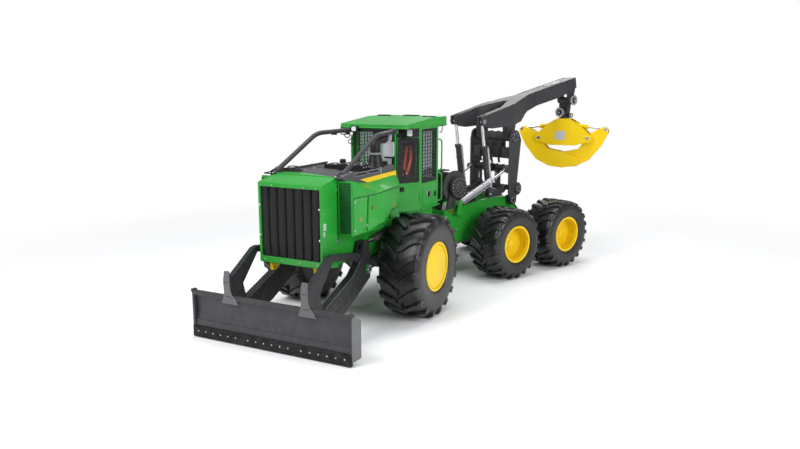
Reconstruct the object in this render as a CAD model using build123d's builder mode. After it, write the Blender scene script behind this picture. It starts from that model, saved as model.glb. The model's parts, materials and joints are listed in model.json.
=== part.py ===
"""Six-wheel articulated grapple skidder, built as separate pieces in one frame.

Millimetres. X to the machine's left, Y rearward, Z up, Z = 0 on the floor. Every piece is drawn
with the machine straight and the front axle above the drawing origin, then moved once to where
it stands: the front frame square to the axes, the rear frame turned about the articulation pin.
"""

from build123d import *
from math import cos, radians, sin
import os

# ---------------------------------------------------------------- driving sizes
# articulation
PIVOT_Y = 2254  # front axle to articulation pin
STEER = 21.7  # the rear frame's turn about the pin, tail to the left
PIN_R = 45  # articulation pins
RUNNING = 0.1  # radial clearance of a pin in its bore
SEAT_GAP = 0.3  # between a moving round part and what it runs on
CYL_PIN_R = 25  # pins of the cylinders' barrels
SIDE_GAP = 5  # beside an eye, drum or roller that moves

# tyres: axle height, width and distance of the middle from the machine's centre plane; flats round
# the carcass; lugs in one of the two rows, their height and width, how far they slant either way
FRONT_TYRE = {
    "radius": 900, "width": 772, "middle": 1185, "rim": 406, "flange": 436,
    "sides": 18, "lugs": 18, "lug_h": 48, "lug_w": 94, "lug_slant": 95,
}
REAR_TYRE = {
    "radius": 740, "width": 770, "middle": 1132, "rim": 362, "flange": 388,
    "sides": 16, "lugs": 18, "lug_h": 38, "lug_w": 72, "lug_slant": 84,
}
RIM_WALL = 20
HUB_R = 150  # wheel hub
SPINDLE_R = 95

# front frame
SIDE_X = 600  # outer face of the front side plates
PLATE = 40  # side plate thickness
DECK_Z = 1670  # top of the front side plates
BELLY_Z = 1140  # bottom of the side plates over the front axle
NOSE_Y = -2130
NOSE_X = 597
NOSE_Z = (1210, 2490)
NOSE_REAR_Y = -1680
HOOD_Z = 2580  # hood deck
ENCLOSURE_X = 870
WALL = 30  # sheet boxes, with their stiffeners

# cab
CAB_FRONT_Y = 500
CAB_REAR_Y = 1800
CAB_SIDE_X = 700
CAB_NOSE_X = 470
CAB_CORNER_Y = 985
CAB_FLOOR_Z = 1670
CAB_TOP_Z = 3210
CAB_WALL = 50
DOOR_TOP_Z = 3050  # a fixed header is above the doors

# towing points
TOW_R = 30
TOW_PLATE = 50
FRONT_TOW = (420, -2030, 1125)
REAR_TOW = (4980, 1110)

# blade
BLADE_W = 2980
BLADE_FACE_Y = -2765
BLADE_H = 763
BLADE_FOOT_Z = 15
BLADE_PIVOT = (-1100, 1020)
ARM_X = (660, 790)
BLADE_ROD_PIN = (-1130, 1430)
BLADE_BARREL_PIN = (-150, 1500)
BLADE_CYL_X = 715
BLADE_EYE_T = 50

# rear frame
REAR_SIDE_X = 450
BOGIE_Y = PIVOT_Y + 2320
BOGIE_SPACING = 1663
AXLE_Z = 860  # rear axle centre, above the wheel centres
BEAM_X = (505, 665)
ARCH_PIVOT = (4600, 1480)
ARCH_X = (560, 600)
ARCH_ROD_PIN = (4410, 2160)
ARCH_BARREL_PIN = (2960, 1560)
ARCH_CYL_X = 525
WINCH = (2980, 1900)
WINCH_R = 330

# boom and grapple
BOOM_PIVOT = (4610, 2870)
BOOM_FORK_PIN = (3760, 3220)
BOOM_CYL_BASE = (4000, 1650)
BOOM_CYL_X = 400
BOOM_HALF = 175
TIP_PIN = (7100, 3620)
SWING_Z = 3330  # side-swing pin, along Y
HEAD_YAW = 31  # turn of the grapple about its rotator, from square
HEAD_Z = 3180  # top of the grapple head
TONG_Z = 2720  # tong pivots
TONG_X = 585

# the middle of the floor under the whole machine, from the front axle
ORIGIN = (645, 2135)
FRONT = Location((-ORIGIN[0], -ORIGIN[1], 0))
REAR = FRONT * Pos(0, PIVOT_Y, 0) * Rot(0, 0, -STEER) * Pos(0, -PIVOT_Y, 0)

os.makedirs("parts", exist_ok=True)


def hand_over(builder, name, place):
    """Move a finished piece to where it stands, name it and write it."""
    piece = builder.part.moved(place)
    piece.label = name
    export_step(piece, f"parts/{name}.step")


def mirrored(points):
    """The outline of both halves, from the points of the +X half."""
    return points + [(-x, y) for x, y in reversed(points) if x]


def between(start, end, share):
    """A point on the line from start to end."""
    return tuple(a + (b - a) * share for a, b in zip(start, end))


# ---------------------------------------------------------------- wheels
def tyre(size):
    """A carcass with two rows of slanting lugs, half a pitch apart, that stands on one lug of each."""
    half = size["width"] / 2
    bead = half - 40
    carcass_r = size["radius"] - size["lug_h"]
    belly_r = (size["flange"] + carcass_r) / 2
    pitch = 360 / size["lugs"]
    # the lugs' flat tops, so far out that their corners reach the floor
    reach = size["lug_slant"] + size["lug_w"] / 2
    quarter = radians(pitch / 4)
    top = (size["radius"] - reach * sin(quarter)) / cos(quarter)
    with BuildPart() as ring:
        side = [(half - 12, carcass_r), (half, belly_r), (bead, size["flange"] + 12)]
        for x, r in [(-x, r) for x, r in reversed(side)] + side:
            with BuildSketch(Plane.YZ.offset(x)):
                RegularPolygon(r, size["sides"])
        loft(ruled=True)
        for row in (-1, 1):
            with BuildPart(mode=Mode.PRIVATE) as lug:
                with BuildSketch(Plane.XY.offset(top)):
                    Polygon(
                        (row * 15, -reach),
                        (row * (half - 30), size["lug_slant"] - size["lug_w"] / 2),
                        (row * (half - 30), reach),
                        (row * 15, size["lug_w"] / 2 - size["lug_slant"]),
                        align=None,
                    )
                extrude(amount=-size["lug_h"] - 50)
            turns = [(i + row / 4) * pitch for i in range(size["lugs"])]
            with Locations(*[Location((0, 0, 0), (turn, 0, 0)) for turn in turns]):
                add(lug.part)
        with BuildSketch(Plane.YZ.offset(-half)):
            RegularPolygon(size["rim"] + SEAT_GAP, size["sides"], major_radius=False)
        extrude(amount=2 * half, mode=Mode.SUBTRACT)
    return ring


def rim(size, dish):
    """A rim with its disc set in by dish from the outer flange, and the hub boss."""
    half = size["width"] / 2
    bead = half - 40
    disc = bead - dish
    with BuildPart() as wheel:
        with BuildSketch(Plane.XZ):
            Polygon(
                (-bead + SEAT_GAP, size["rim"]),
                (-bead + SEAT_GAP, size["rim"] - RIM_WALL),
                (disc - RIM_WALL, size["rim"] - RIM_WALL),
                (disc - RIM_WALL, HUB_R),
                (-bead + 200, HUB_R),
                (-bead + 200, SPINDLE_R + SEAT_GAP),
                (disc - 60, SPINDLE_R + SEAT_GAP),
                (disc - 60, 0),
                (disc + 40, 0),
                (disc + 40, HUB_R),
                (disc, HUB_R),
                (disc, size["rim"] - RIM_WALL),
                (bead + 10, size["rim"] - RIM_WALL),
                (bead + 10, size["flange"]),
                (bead + SEAT_GAP, size["flange"]),
                (bead + SEAT_GAP, size["rim"]),
                align=None,
            )
        revolve(axis=Axis.X)
    return wheel


# wheel name, tyre size, y, frame, dish
WHEELS = [
    ("front", FRONT_TYRE, 0, FRONT, 30),
    ("middle", REAR_TYRE, BOGIE_Y - BOGIE_SPACING / 2, REAR, 230),
    ("rear", REAR_TYRE, BOGIE_Y + BOGIE_SPACING / 2, REAR, 230),
]
for name, size, y, frame, dish in WHEELS:
    for side, turn in (("left", 0), ("right", 180)):
        x = size["middle"] if side == "left" else -size["middle"]
        place = frame * Pos(x, y, size["radius"])
        hand_over(tyre(size), f"tyre_{name}_{side}", place)
        hand_over(rim(size, dish), f"rim_{name}_{side}", place * Rot(0, 0, turn))

# ---------------------------------------------------------------- front chassis
REAR_WALL_Y = 1750
LUG_T = 50  # articulation lugs
LUG_R = 160
# the three plates of each joint, bottom of the lowest: front, rear, front
UPPER_JOINT_Z = 1230
LOWER_JOINT_Z = 700
SIDE_OUTLINE = [
    (NOSE_REAR_Y, BELLY_Z + 60),
    (NOSE_REAR_Y, DECK_Z),
    (REAR_WALL_Y, DECK_Z),
    (REAR_WALL_Y, LOWER_JOINT_Z - 40),
    (900, LOWER_JOINT_Z - 40),
    (560, BELLY_Z),
    (-940, BELLY_Z),
    (-1010, BLADE_PIVOT[1] - 110),
    (-1190, BLADE_PIVOT[1] - 110),
    (-1300, BELLY_Z + 60),
]

with BuildPart() as front_chassis:
    for x in (-SIDE_X, SIDE_X - PLATE):
        with BuildSketch(Plane.YZ.offset(x)):
            Polygon(*SIDE_OUTLINE, align=None)
        extrude(amount=PLATE)
    # blade pins
    for x in (-ARM_X[1] - 25, SIDE_X - PLATE):
        with BuildSketch(Plane.YZ.offset(x)):
            with Locations(BLADE_PIVOT):
                Circle(60)
        extrude(amount=ARM_X[1] + 25 - SIDE_X + PLATE)
    for x in (-ARM_X[1] - 25, ARM_X[1] + SIDE_GAP):
        with BuildSketch(Plane.YZ.offset(x)):
            with Locations(BLADE_PIVOT):
                Circle(80)
        extrude(amount=25 - SIDE_GAP)
    # ears and pins of the blade cylinders
    for side in (-1, 1):
        ear_in = BLADE_CYL_X - BLADE_EYE_T / 2 - SIDE_GAP
        with BuildSketch(Plane.YZ.offset(side * (SIDE_X - PLATE))):
            with Locations(BLADE_BARREL_PIN):
                Circle(60)
        extrude(amount=side * (ear_in - SIDE_X + PLATE))
        with BuildSketch(Plane.YZ.offset(side * ear_in)):
            with Locations(BLADE_BARREL_PIN):
                Circle(CYL_PIN_R)
        extrude(amount=side * (BLADE_EYE_T + SIDE_GAP))
hand_over(front_chassis, "front_chassis", FRONT)

with BuildPart() as front_crossplates:
    # front and rear plates between the side plates, then the belly plate
    for y, z_low, z_high in (
        (NOSE_REAR_Y, BELLY_Z + 60, DECK_Z - 100),
        (REAR_WALL_Y - PLATE, LOWER_JOINT_Z - 40, DECK_Z),
    ):
        with BuildSketch(Plane.XY.offset(z_low)):
            with Locations((0, y + PLATE / 2)):
                Rectangle(2 * SIDE_X - 2 * PLATE, PLATE)
        extrude(amount=z_high - z_low)
    with BuildSketch(Plane.XY.offset(BELLY_Z)):
        with Locations((0, -220)):
            Rectangle(2 * SIDE_X - 2 * PLATE, 1560)
    extrude(amount=20)
    # articulation lugs, two above and two below
    for z in (UPPER_JOINT_Z, LOWER_JOINT_Z):
        for layer in (0, 2):
            with BuildSketch(Plane.XY.offset(z + layer * (LUG_T + SIDE_GAP))):
                Polygon(
                    (-LUG_R - 160, REAR_WALL_Y),
                    (LUG_R + 160, REAR_WALL_Y),
                    (LUG_R, PIVOT_Y),
                    (-LUG_R, PIVOT_Y),
                    align=None,
                )
                with Locations((0, PIVOT_Y)):
                    Circle(LUG_R)
                    Circle(PIN_R + RUNNING, mode=Mode.SUBTRACT)
            extrude(amount=LUG_T)
hand_over(front_crossplates, "front_crossplates", FRONT)

# ---------------------------------------------------------------- front axle
with BuildPart() as front_axle:
    hub_face = FRONT_TYRE["middle"] - FRONT_TYRE["width"] / 2 + 40 + 200
    with BuildSketch(Plane.XZ.offset(0)):
        Polygon(
            *mirrored(
                [
                    (0, 0),
                    (0, 230),
                    (150, 230),
                    (300, 140),
                    (720, 140),
                    (760, 170),
                    (hub_face - 60, 170),
                    (hub_face - 60, SPINDLE_R + 30),
                    (hub_face - SEAT_GAP, SPINDLE_R + 30),
                    (hub_face - SEAT_GAP, SPINDLE_R),
                    (FRONT_TYRE["middle"] + 250, SPINDLE_R),
                    (FRONT_TYRE["middle"] + 250, 0),
                ][1:]
            ),
            align=None,
        )
    revolve(axis=Axis.X)
    # pads under the side plates
    with BuildSketch(Plane.XY):
        with GridLocations(2 * (SIDE_X - 80), 0, 2, 1):
            Rectangle(160, 260)
    extrude(amount=BELLY_Z - FRONT_TYRE["radius"])
hand_over(front_axle, "front_axle", FRONT * Pos(0, 0, FRONT_TYRE["radius"]))

# ---------------------------------------------------------------- nose and engine enclosure
GRILLE_X = 560
GRILLE_Z = (1310, 2430)
FINS = 7
with BuildPart() as nose_box:
    with BuildSketch(Plane.YZ.offset(-NOSE_X)):
        Polygon(
            (NOSE_Y, NOSE_Z[0]),
            (NOSE_Y, NOSE_Z[1]),
            (NOSE_Y + 40, NOSE_Z[1] + 20),
            (NOSE_REAR_Y, HOOD_Z),
            (NOSE_REAR_Y, NOSE_Z[0] - 60),
            align=None,
        )
    extrude(amount=2 * NOSE_X)
    # hollow behind the grille opening, open to the engine
    with BuildSketch(Plane.XZ.offset(-NOSE_Y)):
        with Locations((0, sum(GRILLE_Z) / 2)):
            Rectangle(2 * GRILLE_X, GRILLE_Z[1] - GRILLE_Z[0])
    extrude(amount=-(NOSE_REAR_Y - NOSE_Y), mode=Mode.SUBTRACT)
hand_over(nose_box, "nose_box", FRONT)

# the underside of the nose, from front to rear
NOSE_FOOT = [(NOSE_Y, NOSE_Z[0]), (NOSE_REAR_Y, NOSE_Z[0] - 60)]
with BuildPart() as tow_eyes:
    for side in (-1, 1):
        with BuildSketch(Plane.YZ.offset(side * (FRONT_TOW[0] - TOW_PLATE / 2))):
            Polygon(
                between(*NOSE_FOOT, 0.08),
                between(*NOSE_FOOT, 0.6),
                (FRONT_TOW[1] + 40, FRONT_TOW[2] - 50),
                (FRONT_TOW[1] - 40, FRONT_TOW[2] - 50),
                align=None,
            )
            with Locations(FRONT_TOW[1:]):
                Circle(TOW_R, mode=Mode.SUBTRACT)
        extrude(amount=side * TOW_PLATE)
hand_over(tow_eyes, "tow_eyes", FRONT)

with BuildPart() as grille:
    pitch = 2 * GRILLE_X / FINS
    fin_depth = 70
    with BuildSketch(Plane.XY.offset(GRILLE_Z[0])):
        for i in range(FINS):
            x = -GRILLE_X + i * pitch
            Polygon(
                (x, NOSE_Y + 25),
                (x + pitch * 0.7, NOSE_Y + 12),
                (x + pitch, NOSE_Y + fin_depth),
                (x + pitch, NOSE_Y + fin_depth + 12),
                (x, NOSE_Y + fin_depth + 12),
                align=None,
            )
    extrude(amount=GRILLE_Z[1] - GRILLE_Z[0])
hand_over(grille, "grille", FRONT)

ENCLOSURE_REAR_Y = 430
SEAM_Z = 2270
FRONT_VENT = (743, 800, 2100)  # middle from the centre plane, height, middle's height
PEAK = (940, -990)
DECK_X = 700  # half width of the hood deck
DECK_FOOT_Z = 2400
ENGINE_X = 620  # half width of the engine's room
front_y = NOSE_REAR_Y + SEAT_GAP
# the upper panels: y, inner edge, ridge and its height, shoulder and its height
UPPER_SECTIONS = [
    (front_y, ENGINE_X, ENCLOSURE_X, 2540, DECK_X, 2541),
    (PEAK[1], ENGINE_X, PEAK[0], SEAM_Z + 15, DECK_X, 2425),
    (0, ENGINE_X, 800, SEAM_Z + 15, DECK_X, 2460),
    (ENCLOSURE_REAR_Y, 440, 560, SEAM_Z + 15, 490, 2460),
]
with BuildPart() as engine_enclosure:
    with BuildSketch(Plane.XY.offset(DECK_Z)):
        Polygon(
            *mirrored(
                [
                    (ENCLOSURE_X, front_y),
                    (ENCLOSURE_X + 20, PEAK[1]),
                    (800, 0),
                    (560, ENCLOSURE_REAR_Y),
                ]
            ),
            align=None,
        )
    with BuildSketch(Plane.XY.offset(SEAM_Z)):
        Polygon(
            *mirrored(
                [
                    (ENCLOSURE_X, front_y),
                    PEAK,
                    (800, 0),
                    (560, ENCLOSURE_REAR_Y),
                ]
            ),
            align=None,
        )
    loft(ruled=True)
    # the engine's room
    with BuildSketch(Plane.XY.offset(DECK_Z)):
        Polygon(
            *mirrored([(ENGINE_X, front_y), (ENGINE_X, 0), (440, ENCLOSURE_REAR_Y - WALL)]),
            align=None,
        )
    extrude(amount=SEAM_Z - DECK_Z, mode=Mode.SUBTRACT)
    for side in (-1, 1):
        for y, inner, ridge, ridge_z, shoulder, shoulder_z in UPPER_SECTIONS:
            with BuildSketch(Plane.XZ.offset(-y)):
                Polygon(
                    (side * inner, SEAM_Z),
                    (side * ridge, SEAM_Z),
                    (side * ridge, ridge_z),
                    (side * shoulder, shoulder_z),
                    (side * shoulder, DECK_FOOT_Z),
                    (side * inner, DECK_FOOT_Z),
                    align=None,
                )
        loft(ruled=True)
    # rear wall above the seam
    with BuildSketch(Plane.XZ.offset(WALL - ENCLOSURE_REAR_Y)):
        with Locations((0, (SEAM_Z + DECK_FOOT_Z) / 2)):
            Rectangle(1000, DECK_FOOT_Z - SEAM_Z)
    extrude(amount=-WALL)
    # slats in the front faces
    with BuildSketch(Plane.XZ.offset(-front_y)):
        with GridLocations(2 * FRONT_VENT[0], FRONT_VENT[1] / 9, 2, 9):
            with Locations((0, FRONT_VENT[2])):
                Rectangle(210, FRONT_VENT[1] / 9 - 25)
    extrude(amount=-25, mode=Mode.SUBTRACT)
    # the lower edge rises over the front tyres
    for x in (-1000, SIDE_X + 20):
        with BuildSketch(Plane.YZ.offset(x)):
            Polygon(
                (-700, DECK_Z - 1),
                (-330, 1880),
                (ENCLOSURE_REAR_Y + 10, 1880),
                (ENCLOSURE_REAR_Y + 10, DECK_Z - 1),
                align=None,
            )
        extrude(amount=980 - SIDE_X, mode=Mode.SUBTRACT)
hand_over(engine_enclosure, "engine_enclosure", FRONT)

# the dark strips along the deck: side outline, then each vent's start and end
STRIP = [
    (NOSE_REAR_Y - 160, HOOD_Z + 5),
    (NOSE_REAR_Y - 160, HOOD_Z + 30),
    (0, HOOD_Z + 40),
    (0, HOOD_Z - 80),
    (-1220, HOOD_Z - 90),
    (-1420, HOOD_Z - 50),
]
STRIP_T = 20
VENTS = [(-1290, -956), (-887, -564)]
with BuildPart() as hood_deck:
    with BuildSketch(Plane.XY.offset(DECK_FOOT_Z)):
        Polygon(
            *mirrored([(DECK_X - SEAT_GAP, front_y), (DECK_X - SEAT_GAP, 0), (470, ENCLOSURE_REAR_Y)]),
            align=None,
        )
    extrude(amount=HOOD_Z - DECK_FOOT_Z)
    for side in (-1, 1):
        with BuildSketch(Plane.YZ.offset(side * (DECK_X - SEAT_GAP))):
            Polygon(*STRIP, align=None)
        extrude(amount=-side * STRIP_T)
        with BuildSketch(Plane.YZ.offset(side * (DECK_X - SEAT_GAP))):
            for start, end in VENTS:
                with Locations(((start + end) / 2, HOOD_Z + 5)):
                    Rectangle(end - start, 50)
        extrude(amount=-side * 12, mode=Mode.SUBTRACT)
hand_over(hood_deck, "hood_deck", FRONT)

with BuildPart() as engine_block:
    with BuildSketch(Plane.XY.offset(BELLY_Z + 20)):
        with Locations((0, -700)):
            Rectangle(620, 1150)
    extrude(amount=1050)
hand_over(engine_block, "engine_block", FRONT)

# ---------------------------------------------------------------- cab
DOOR_T = 35
DOOR_GAP = 5
CAB_PLAN = [
    (CAB_NOSE_X - 30, CAB_FRONT_Y),
    (CAB_SIDE_X, CAB_CORNER_Y + 30),
    (CAB_SIDE_X, CAB_REAR_Y),
]
CAB_WALL_START = Vector(*CAB_PLAN[0])
CAB_WALL_RUN = Vector(*CAB_PLAN[1]) - CAB_WALL_START
DOOR_LENGTH = CAB_WALL_RUN.length - 60
DOOR_Z = (CAB_FLOOR_Z + 20, DOOR_TOP_Z)
DOOR_H = DOOR_Z[1] - DOOR_Z[0]


def door_face(side, out):
    """The plane of a slanted cab wall, side 1 left and -1 right, moved outward by out."""
    run = Vector(CAB_WALL_RUN.X * side, CAB_WALL_RUN.Y).normalized()
    outward = Vector(CAB_WALL_RUN.Y * side, -CAB_WALL_RUN.X).normalized()
    middle = Vector(
        (CAB_WALL_START.X + CAB_WALL_RUN.X / 2) * side,
        CAB_WALL_START.Y + CAB_WALL_RUN.Y / 2,
        (DOOR_Z[0] + DOOR_Z[1]) / 2,
    )
    return Plane(origin=middle + outward * out, x_dir=run, z_dir=outward)


HINGE_R = 17.5
HINGE_PIN_R = 12
HINGE_EDGE = HINGE_R + SIDE_GAP  # the panel's rear edge stops this far before the hinge line
KNUCKLE_H = 60
RAIL_X = CAB_SIDE_X - 30


def door_hinge(side, height, out=0.0):
    """A plane across the hinge line, height above the door's middle, normal up."""
    face = door_face(side, DOOR_GAP + DOOR_T / 2)
    point = face.origin + face.x_dir * DOOR_LENGTH / 2 + face.z_dir * out + Vector(0, 0, height)
    return Plane(origin=point, x_dir=face.x_dir, z_dir=(0, 0, 1))


# fixed panes: across the cab or along it, height of the middle, width, height
REAR_PANE = (0, 2675, 1160, 910)
FRONT_PANE = (0, 2720, 770, 860)
SIDE_PANE = (1400, 2675, 580, 950)

with BuildPart() as cab_shell:
    with BuildSketch(Plane.XY.offset(CAB_FLOOR_Z)):
        Polygon(*mirrored(CAB_PLAN), align=None)
    extrude(amount=CAB_TOP_Z - CAB_FLOOR_Z)
    with BuildSketch(Plane.XY.offset(CAB_FLOOR_Z + CAB_WALL)):
        Polygon(*mirrored(CAB_PLAN), align=None)
        offset(amount=-CAB_WALL, mode=Mode.REPLACE, kind=Kind.INTERSECTION)
    extrude(amount=CAB_TOP_Z - CAB_FLOOR_Z - CAB_WALL, mode=Mode.SUBTRACT)
    # front and rear windows
    for y, pane in ((CAB_REAR_Y + 50, REAR_PANE), (CAB_FRONT_Y + 100, FRONT_PANE)):
        with BuildSketch(Plane.XZ.offset(-y)):
            with Locations(pane[:2]):
                Rectangle(*pane[2:])
        extrude(amount=200, mode=Mode.SUBTRACT)
    # side windows
    with BuildSketch(Plane.YZ.offset(-CAB_SIDE_X - 50)):
        with Locations(SIDE_PANE[:2]):
            Rectangle(*SIDE_PANE[2:])
    extrude(amount=2 * CAB_SIDE_X + 100, mode=Mode.SUBTRACT)
    # door openings
    for mirror_x in (1, -1):
        with BuildSketch(door_face(mirror_x, 30)):
            Rectangle(DOOR_LENGTH - 80, DOOR_H - 80)
        extrude(amount=-160, mode=Mode.SUBTRACT)
        # hinge knuckles above and below each of the door's two
        for height in (-450, 450):
            for z in (height - KNUCKLE_H / 2 - 1 - KNUCKLE_H, height + KNUCKLE_H / 2 + 1):
                with BuildSketch(door_hinge(mirror_x, z)):
                    Circle(HINGE_R)
                    with Locations((0, (HINGE_R + DOOR_GAP) / 2 * mirror_x)):
                        Rectangle(2 * HINGE_R, HINGE_R + DOOR_GAP)
                extrude(amount=KNUCKLE_H)
            with BuildSketch(door_hinge(mirror_x, height - KNUCKLE_H)):
                Circle(HINGE_PIN_R)
            extrude(amount=2 * KNUCKLE_H)
hand_over(cab_shell, "cab_shell", FRONT)

with BuildPart() as handrails:
    for z_low, z_high in ((2350, 2950), (1750, 2300)):
        for x in (-RAIL_X, RAIL_X):
            with BuildLine(Plane.YZ.offset(x)):
                rail = FilletPolyline(
                    (CAB_REAR_Y, z_low),
                    (CAB_REAR_Y + 90, z_low),
                    (CAB_REAR_Y + 90, z_high),
                    (CAB_REAR_Y, z_high),
                    radius=40,
                )
            with BuildSketch(Plane(rail @ 0, z_dir=rail % 0)):
                Circle(14)
            sweep(path=rail)
hand_over(handrails, "handrails", FRONT)

DOOR_GLASS_H = 780
DOOR_GLASS_W = DOOR_LENGTH - 110
GLASS_T = 8
for side_name, side in (("left", 1), ("right", -1)):
    # local y is up on the left door and down on the right one
    glass_y = (DOOR_H / 2 - 45 - DOOR_GLASS_H / 2) * side
    with BuildPart() as door:
        with BuildSketch(door_face(side, DOOR_GAP)):
            with Locations((-HINGE_EDGE / 2, 0)):
                Rectangle(DOOR_LENGTH - HINGE_EDGE, DOOR_H)
            with Locations((0, glass_y)):
                Rectangle(DOOR_GLASS_W, DOOR_GLASS_H, mode=Mode.SUBTRACT)
        extrude(amount=DOOR_T)
        for height in (-450, 450):
            with BuildSketch(door_hinge(side, height - KNUCKLE_H / 2)):
                Circle(HINGE_R)
                with Locations((-HINGE_EDGE / 2, 0)):
                    Rectangle(HINGE_EDGE, HINGE_R)
                Circle(HINGE_PIN_R + RUNNING, mode=Mode.SUBTRACT)
            extrude(amount=KNUCKLE_H)
    hand_over(door, f"door_{side_name}", FRONT)
    with BuildPart() as door_glass:
        with BuildSketch(door_face(side, DOOR_GAP + DOOR_T / 2)):
            with Locations((0, glass_y)):
                Rectangle(DOOR_GLASS_W, DOOR_GLASS_H)
        extrude(amount=GLASS_T)
    hand_over(door_glass, f"door_glass_{side_name}", FRONT)

with BuildPart() as cab_glass:
    for y, pane in ((CAB_REAR_Y - 20, REAR_PANE), (CAB_FRONT_Y + 30, FRONT_PANE)):
        with BuildSketch(Plane.XZ.offset(-y)):
            with Locations(pane[:2]):
                Rectangle(*pane[2:])
        extrude(amount=GLASS_T)
    for x in (-CAB_SIDE_X + 35, CAB_SIDE_X - 35 - GLASS_T):
        with BuildSketch(Plane.YZ.offset(x)):
            with Locations(SIDE_PANE[:2]):
                Rectangle(*SIDE_PANE[2:])
        extrude(amount=GLASS_T)
hand_over(cab_glass, "cab_glass", FRONT)

with BuildPart() as window_guards:
    bar = 12
    for x in (-CAB_SIDE_X, CAB_SIDE_X - bar):
        with BuildSketch(Plane.YZ.offset(x)):
            with Locations(SIDE_PANE[:2]):
                Rectangle(*SIDE_PANE[2:])
                Rectangle(SIDE_PANE[2] - 40, SIDE_PANE[3] - 40, mode=Mode.SUBTRACT)
                with GridLocations(108, 0, 4, 1):
                    Rectangle(bar, SIDE_PANE[3] - 20)
                with GridLocations(0, 65, 1, 14):
                    Rectangle(SIDE_PANE[2] - 20, bar)
        extrude(amount=bar)
hand_over(window_guards, "window_guards", FRONT)

ROOF_X = 705
ROOF_FRONT_Y = CAB_FRONT_Y - 40
ROOF_REAR_Y = 2210
ROOF_OUTLINE = [
    (ROOF_FRONT_Y, CAB_TOP_Z),
    (ROOF_FRONT_Y, CAB_TOP_Z + 75),
    (1550, CAB_TOP_Z + 175),
    (ROOF_REAR_Y, CAB_TOP_Z + 175),
    (ROOF_REAR_Y, CAB_TOP_Z),
]
RISER_END_X = 470
# on the roof's front: x, front y, lowest z, width, depth, height of a block
ROOF_BLOCKS = [
    (ROOF_X - 5, 600, 3075, 125, 90, 140),
    (-ROOF_X + 5, 600, 3075, 125, 90, 140),
    (-360, ROOF_FRONT_Y - 55, 3140, 120, 60, 120),
    (RISER_END_X, ROOF_FRONT_Y, 3130, 90, 35, 85),
    (-RISER_END_X, ROOF_FRONT_Y, 3130, 90, 35, 85),
]
with BuildPart() as cab_roof:
    with BuildSketch(Plane.YZ.offset(-ROOF_X)):
        Polygon(*ROOF_OUTLINE, align=None)
    extrude(amount=2 * ROOF_X)
    chamfer(cab_roof.edges().filter_by(Axis.Z), 40)
    for x, y, z, width, depth, height in ROOF_BLOCKS:
        with BuildSketch(Plane.XY.offset(z)):
            with Locations((x, y + depth / 2)):
                Rectangle(width, depth)
        extrude(amount=height)
hand_over(cab_roof, "cab_roof", FRONT)

with BuildPart() as seat:
    floor_z = CAB_FLOOR_Z + CAB_WALL
    with BuildSketch(Plane.XY.offset(floor_z)):
        with Locations((0, 1270)):
            Rectangle(380, 400)
    extrude(amount=330)
    with BuildSketch(Plane.XY.offset(floor_z + 330)):
        with Locations((0, 1250)):
            Rectangle(520, 520)
    extrude(amount=130)
    with BuildSketch(Plane.YZ.offset(-240)):
        Polygon((1450, 2100), (1590, 2100), (1680, 2760), (1580, 2760), align=None)
    extrude(amount=480)
hand_over(seat, "seat", FRONT)

with BuildPart() as console:
    for x in (-430, 310):
        with BuildSketch(Plane.XY.offset(floor_z)):
            with Locations((x + 60, 1150)):
                Rectangle(120, 420)
        extrude(amount=560)
hand_over(console, "console", FRONT)

# ---------------------------------------------------------------- hood furniture
RISER_R = 40
RISER_X = 635
RISER_TOP_X = 600
MIRROR = (417, 300, 2860)
with BuildPart() as risers:
    for side in (-1, 1):
        with BuildLine():
            path = FilletPolyline(
                (side * RISER_X, -1680, HOOD_Z - 10),
                (side * RISER_TOP_X, -460, 3160),
                (side * RISER_END_X, ROOF_FRONT_Y + 60, 3175),
                radius=200,
            )
        with BuildSketch(Plane(path @ 0, z_dir=path % 0)):
            Circle(RISER_R)
        sweep(path=path)
    split(bisect_by=Plane.XY.offset(HOOD_Z + SEAT_GAP), keep=Keep.TOP)
    split(bisect_by=Plane.XZ.offset(-ROOF_FRONT_Y), keep=Keep.TOP)
    # gussets at their feet
    for side in (-1, 1):
        with BuildSketch(Plane.YZ.offset(side * (RISER_X - 15))):
            Polygon((-1840, 2600), (-1430, 2590), (-1560, 2760), align=None)
        extrude(amount=-side * 15)
    # mirror, hung from the left one by a bar and two rods
    with BuildSketch(Plane.XZ.offset(-MIRROR[1])):
        with Locations((MIRROR[0], MIRROR[2])):
            Rectangle(185, 240)
        with Locations((MIRROR[0] - 70, MIRROR[2] + 190), (MIRROR[0] + 50, MIRROR[2] + 190)):
            Rectangle(16, 180)
        with Locations((MIRROR[0] + 10, MIRROR[2] + 280)):
            Rectangle(176, 20)
    extrude(amount=-30)
hand_over(risers, "risers", FRONT)

INTAKE = (460, -250)
with BuildPart() as air_intake:
    with BuildSketch(Plane.XY.offset(HOOD_Z)):
        with Locations(INTAKE):
            Circle(160)
    with BuildSketch(Plane.XY.offset(HOOD_Z + 230)):
        with Locations(INTAKE):
            Circle(95)
    loft(ruled=True)
    for height, r in ((275, 95), (510, 80)):
        with BuildSketch(Plane.XY.offset(HOOD_Z + 230)):
            with Locations(INTAKE):
                Circle(r)
        extrude(amount=height - 230)
hand_over(air_intake, "air_intake", FRONT)

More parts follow.
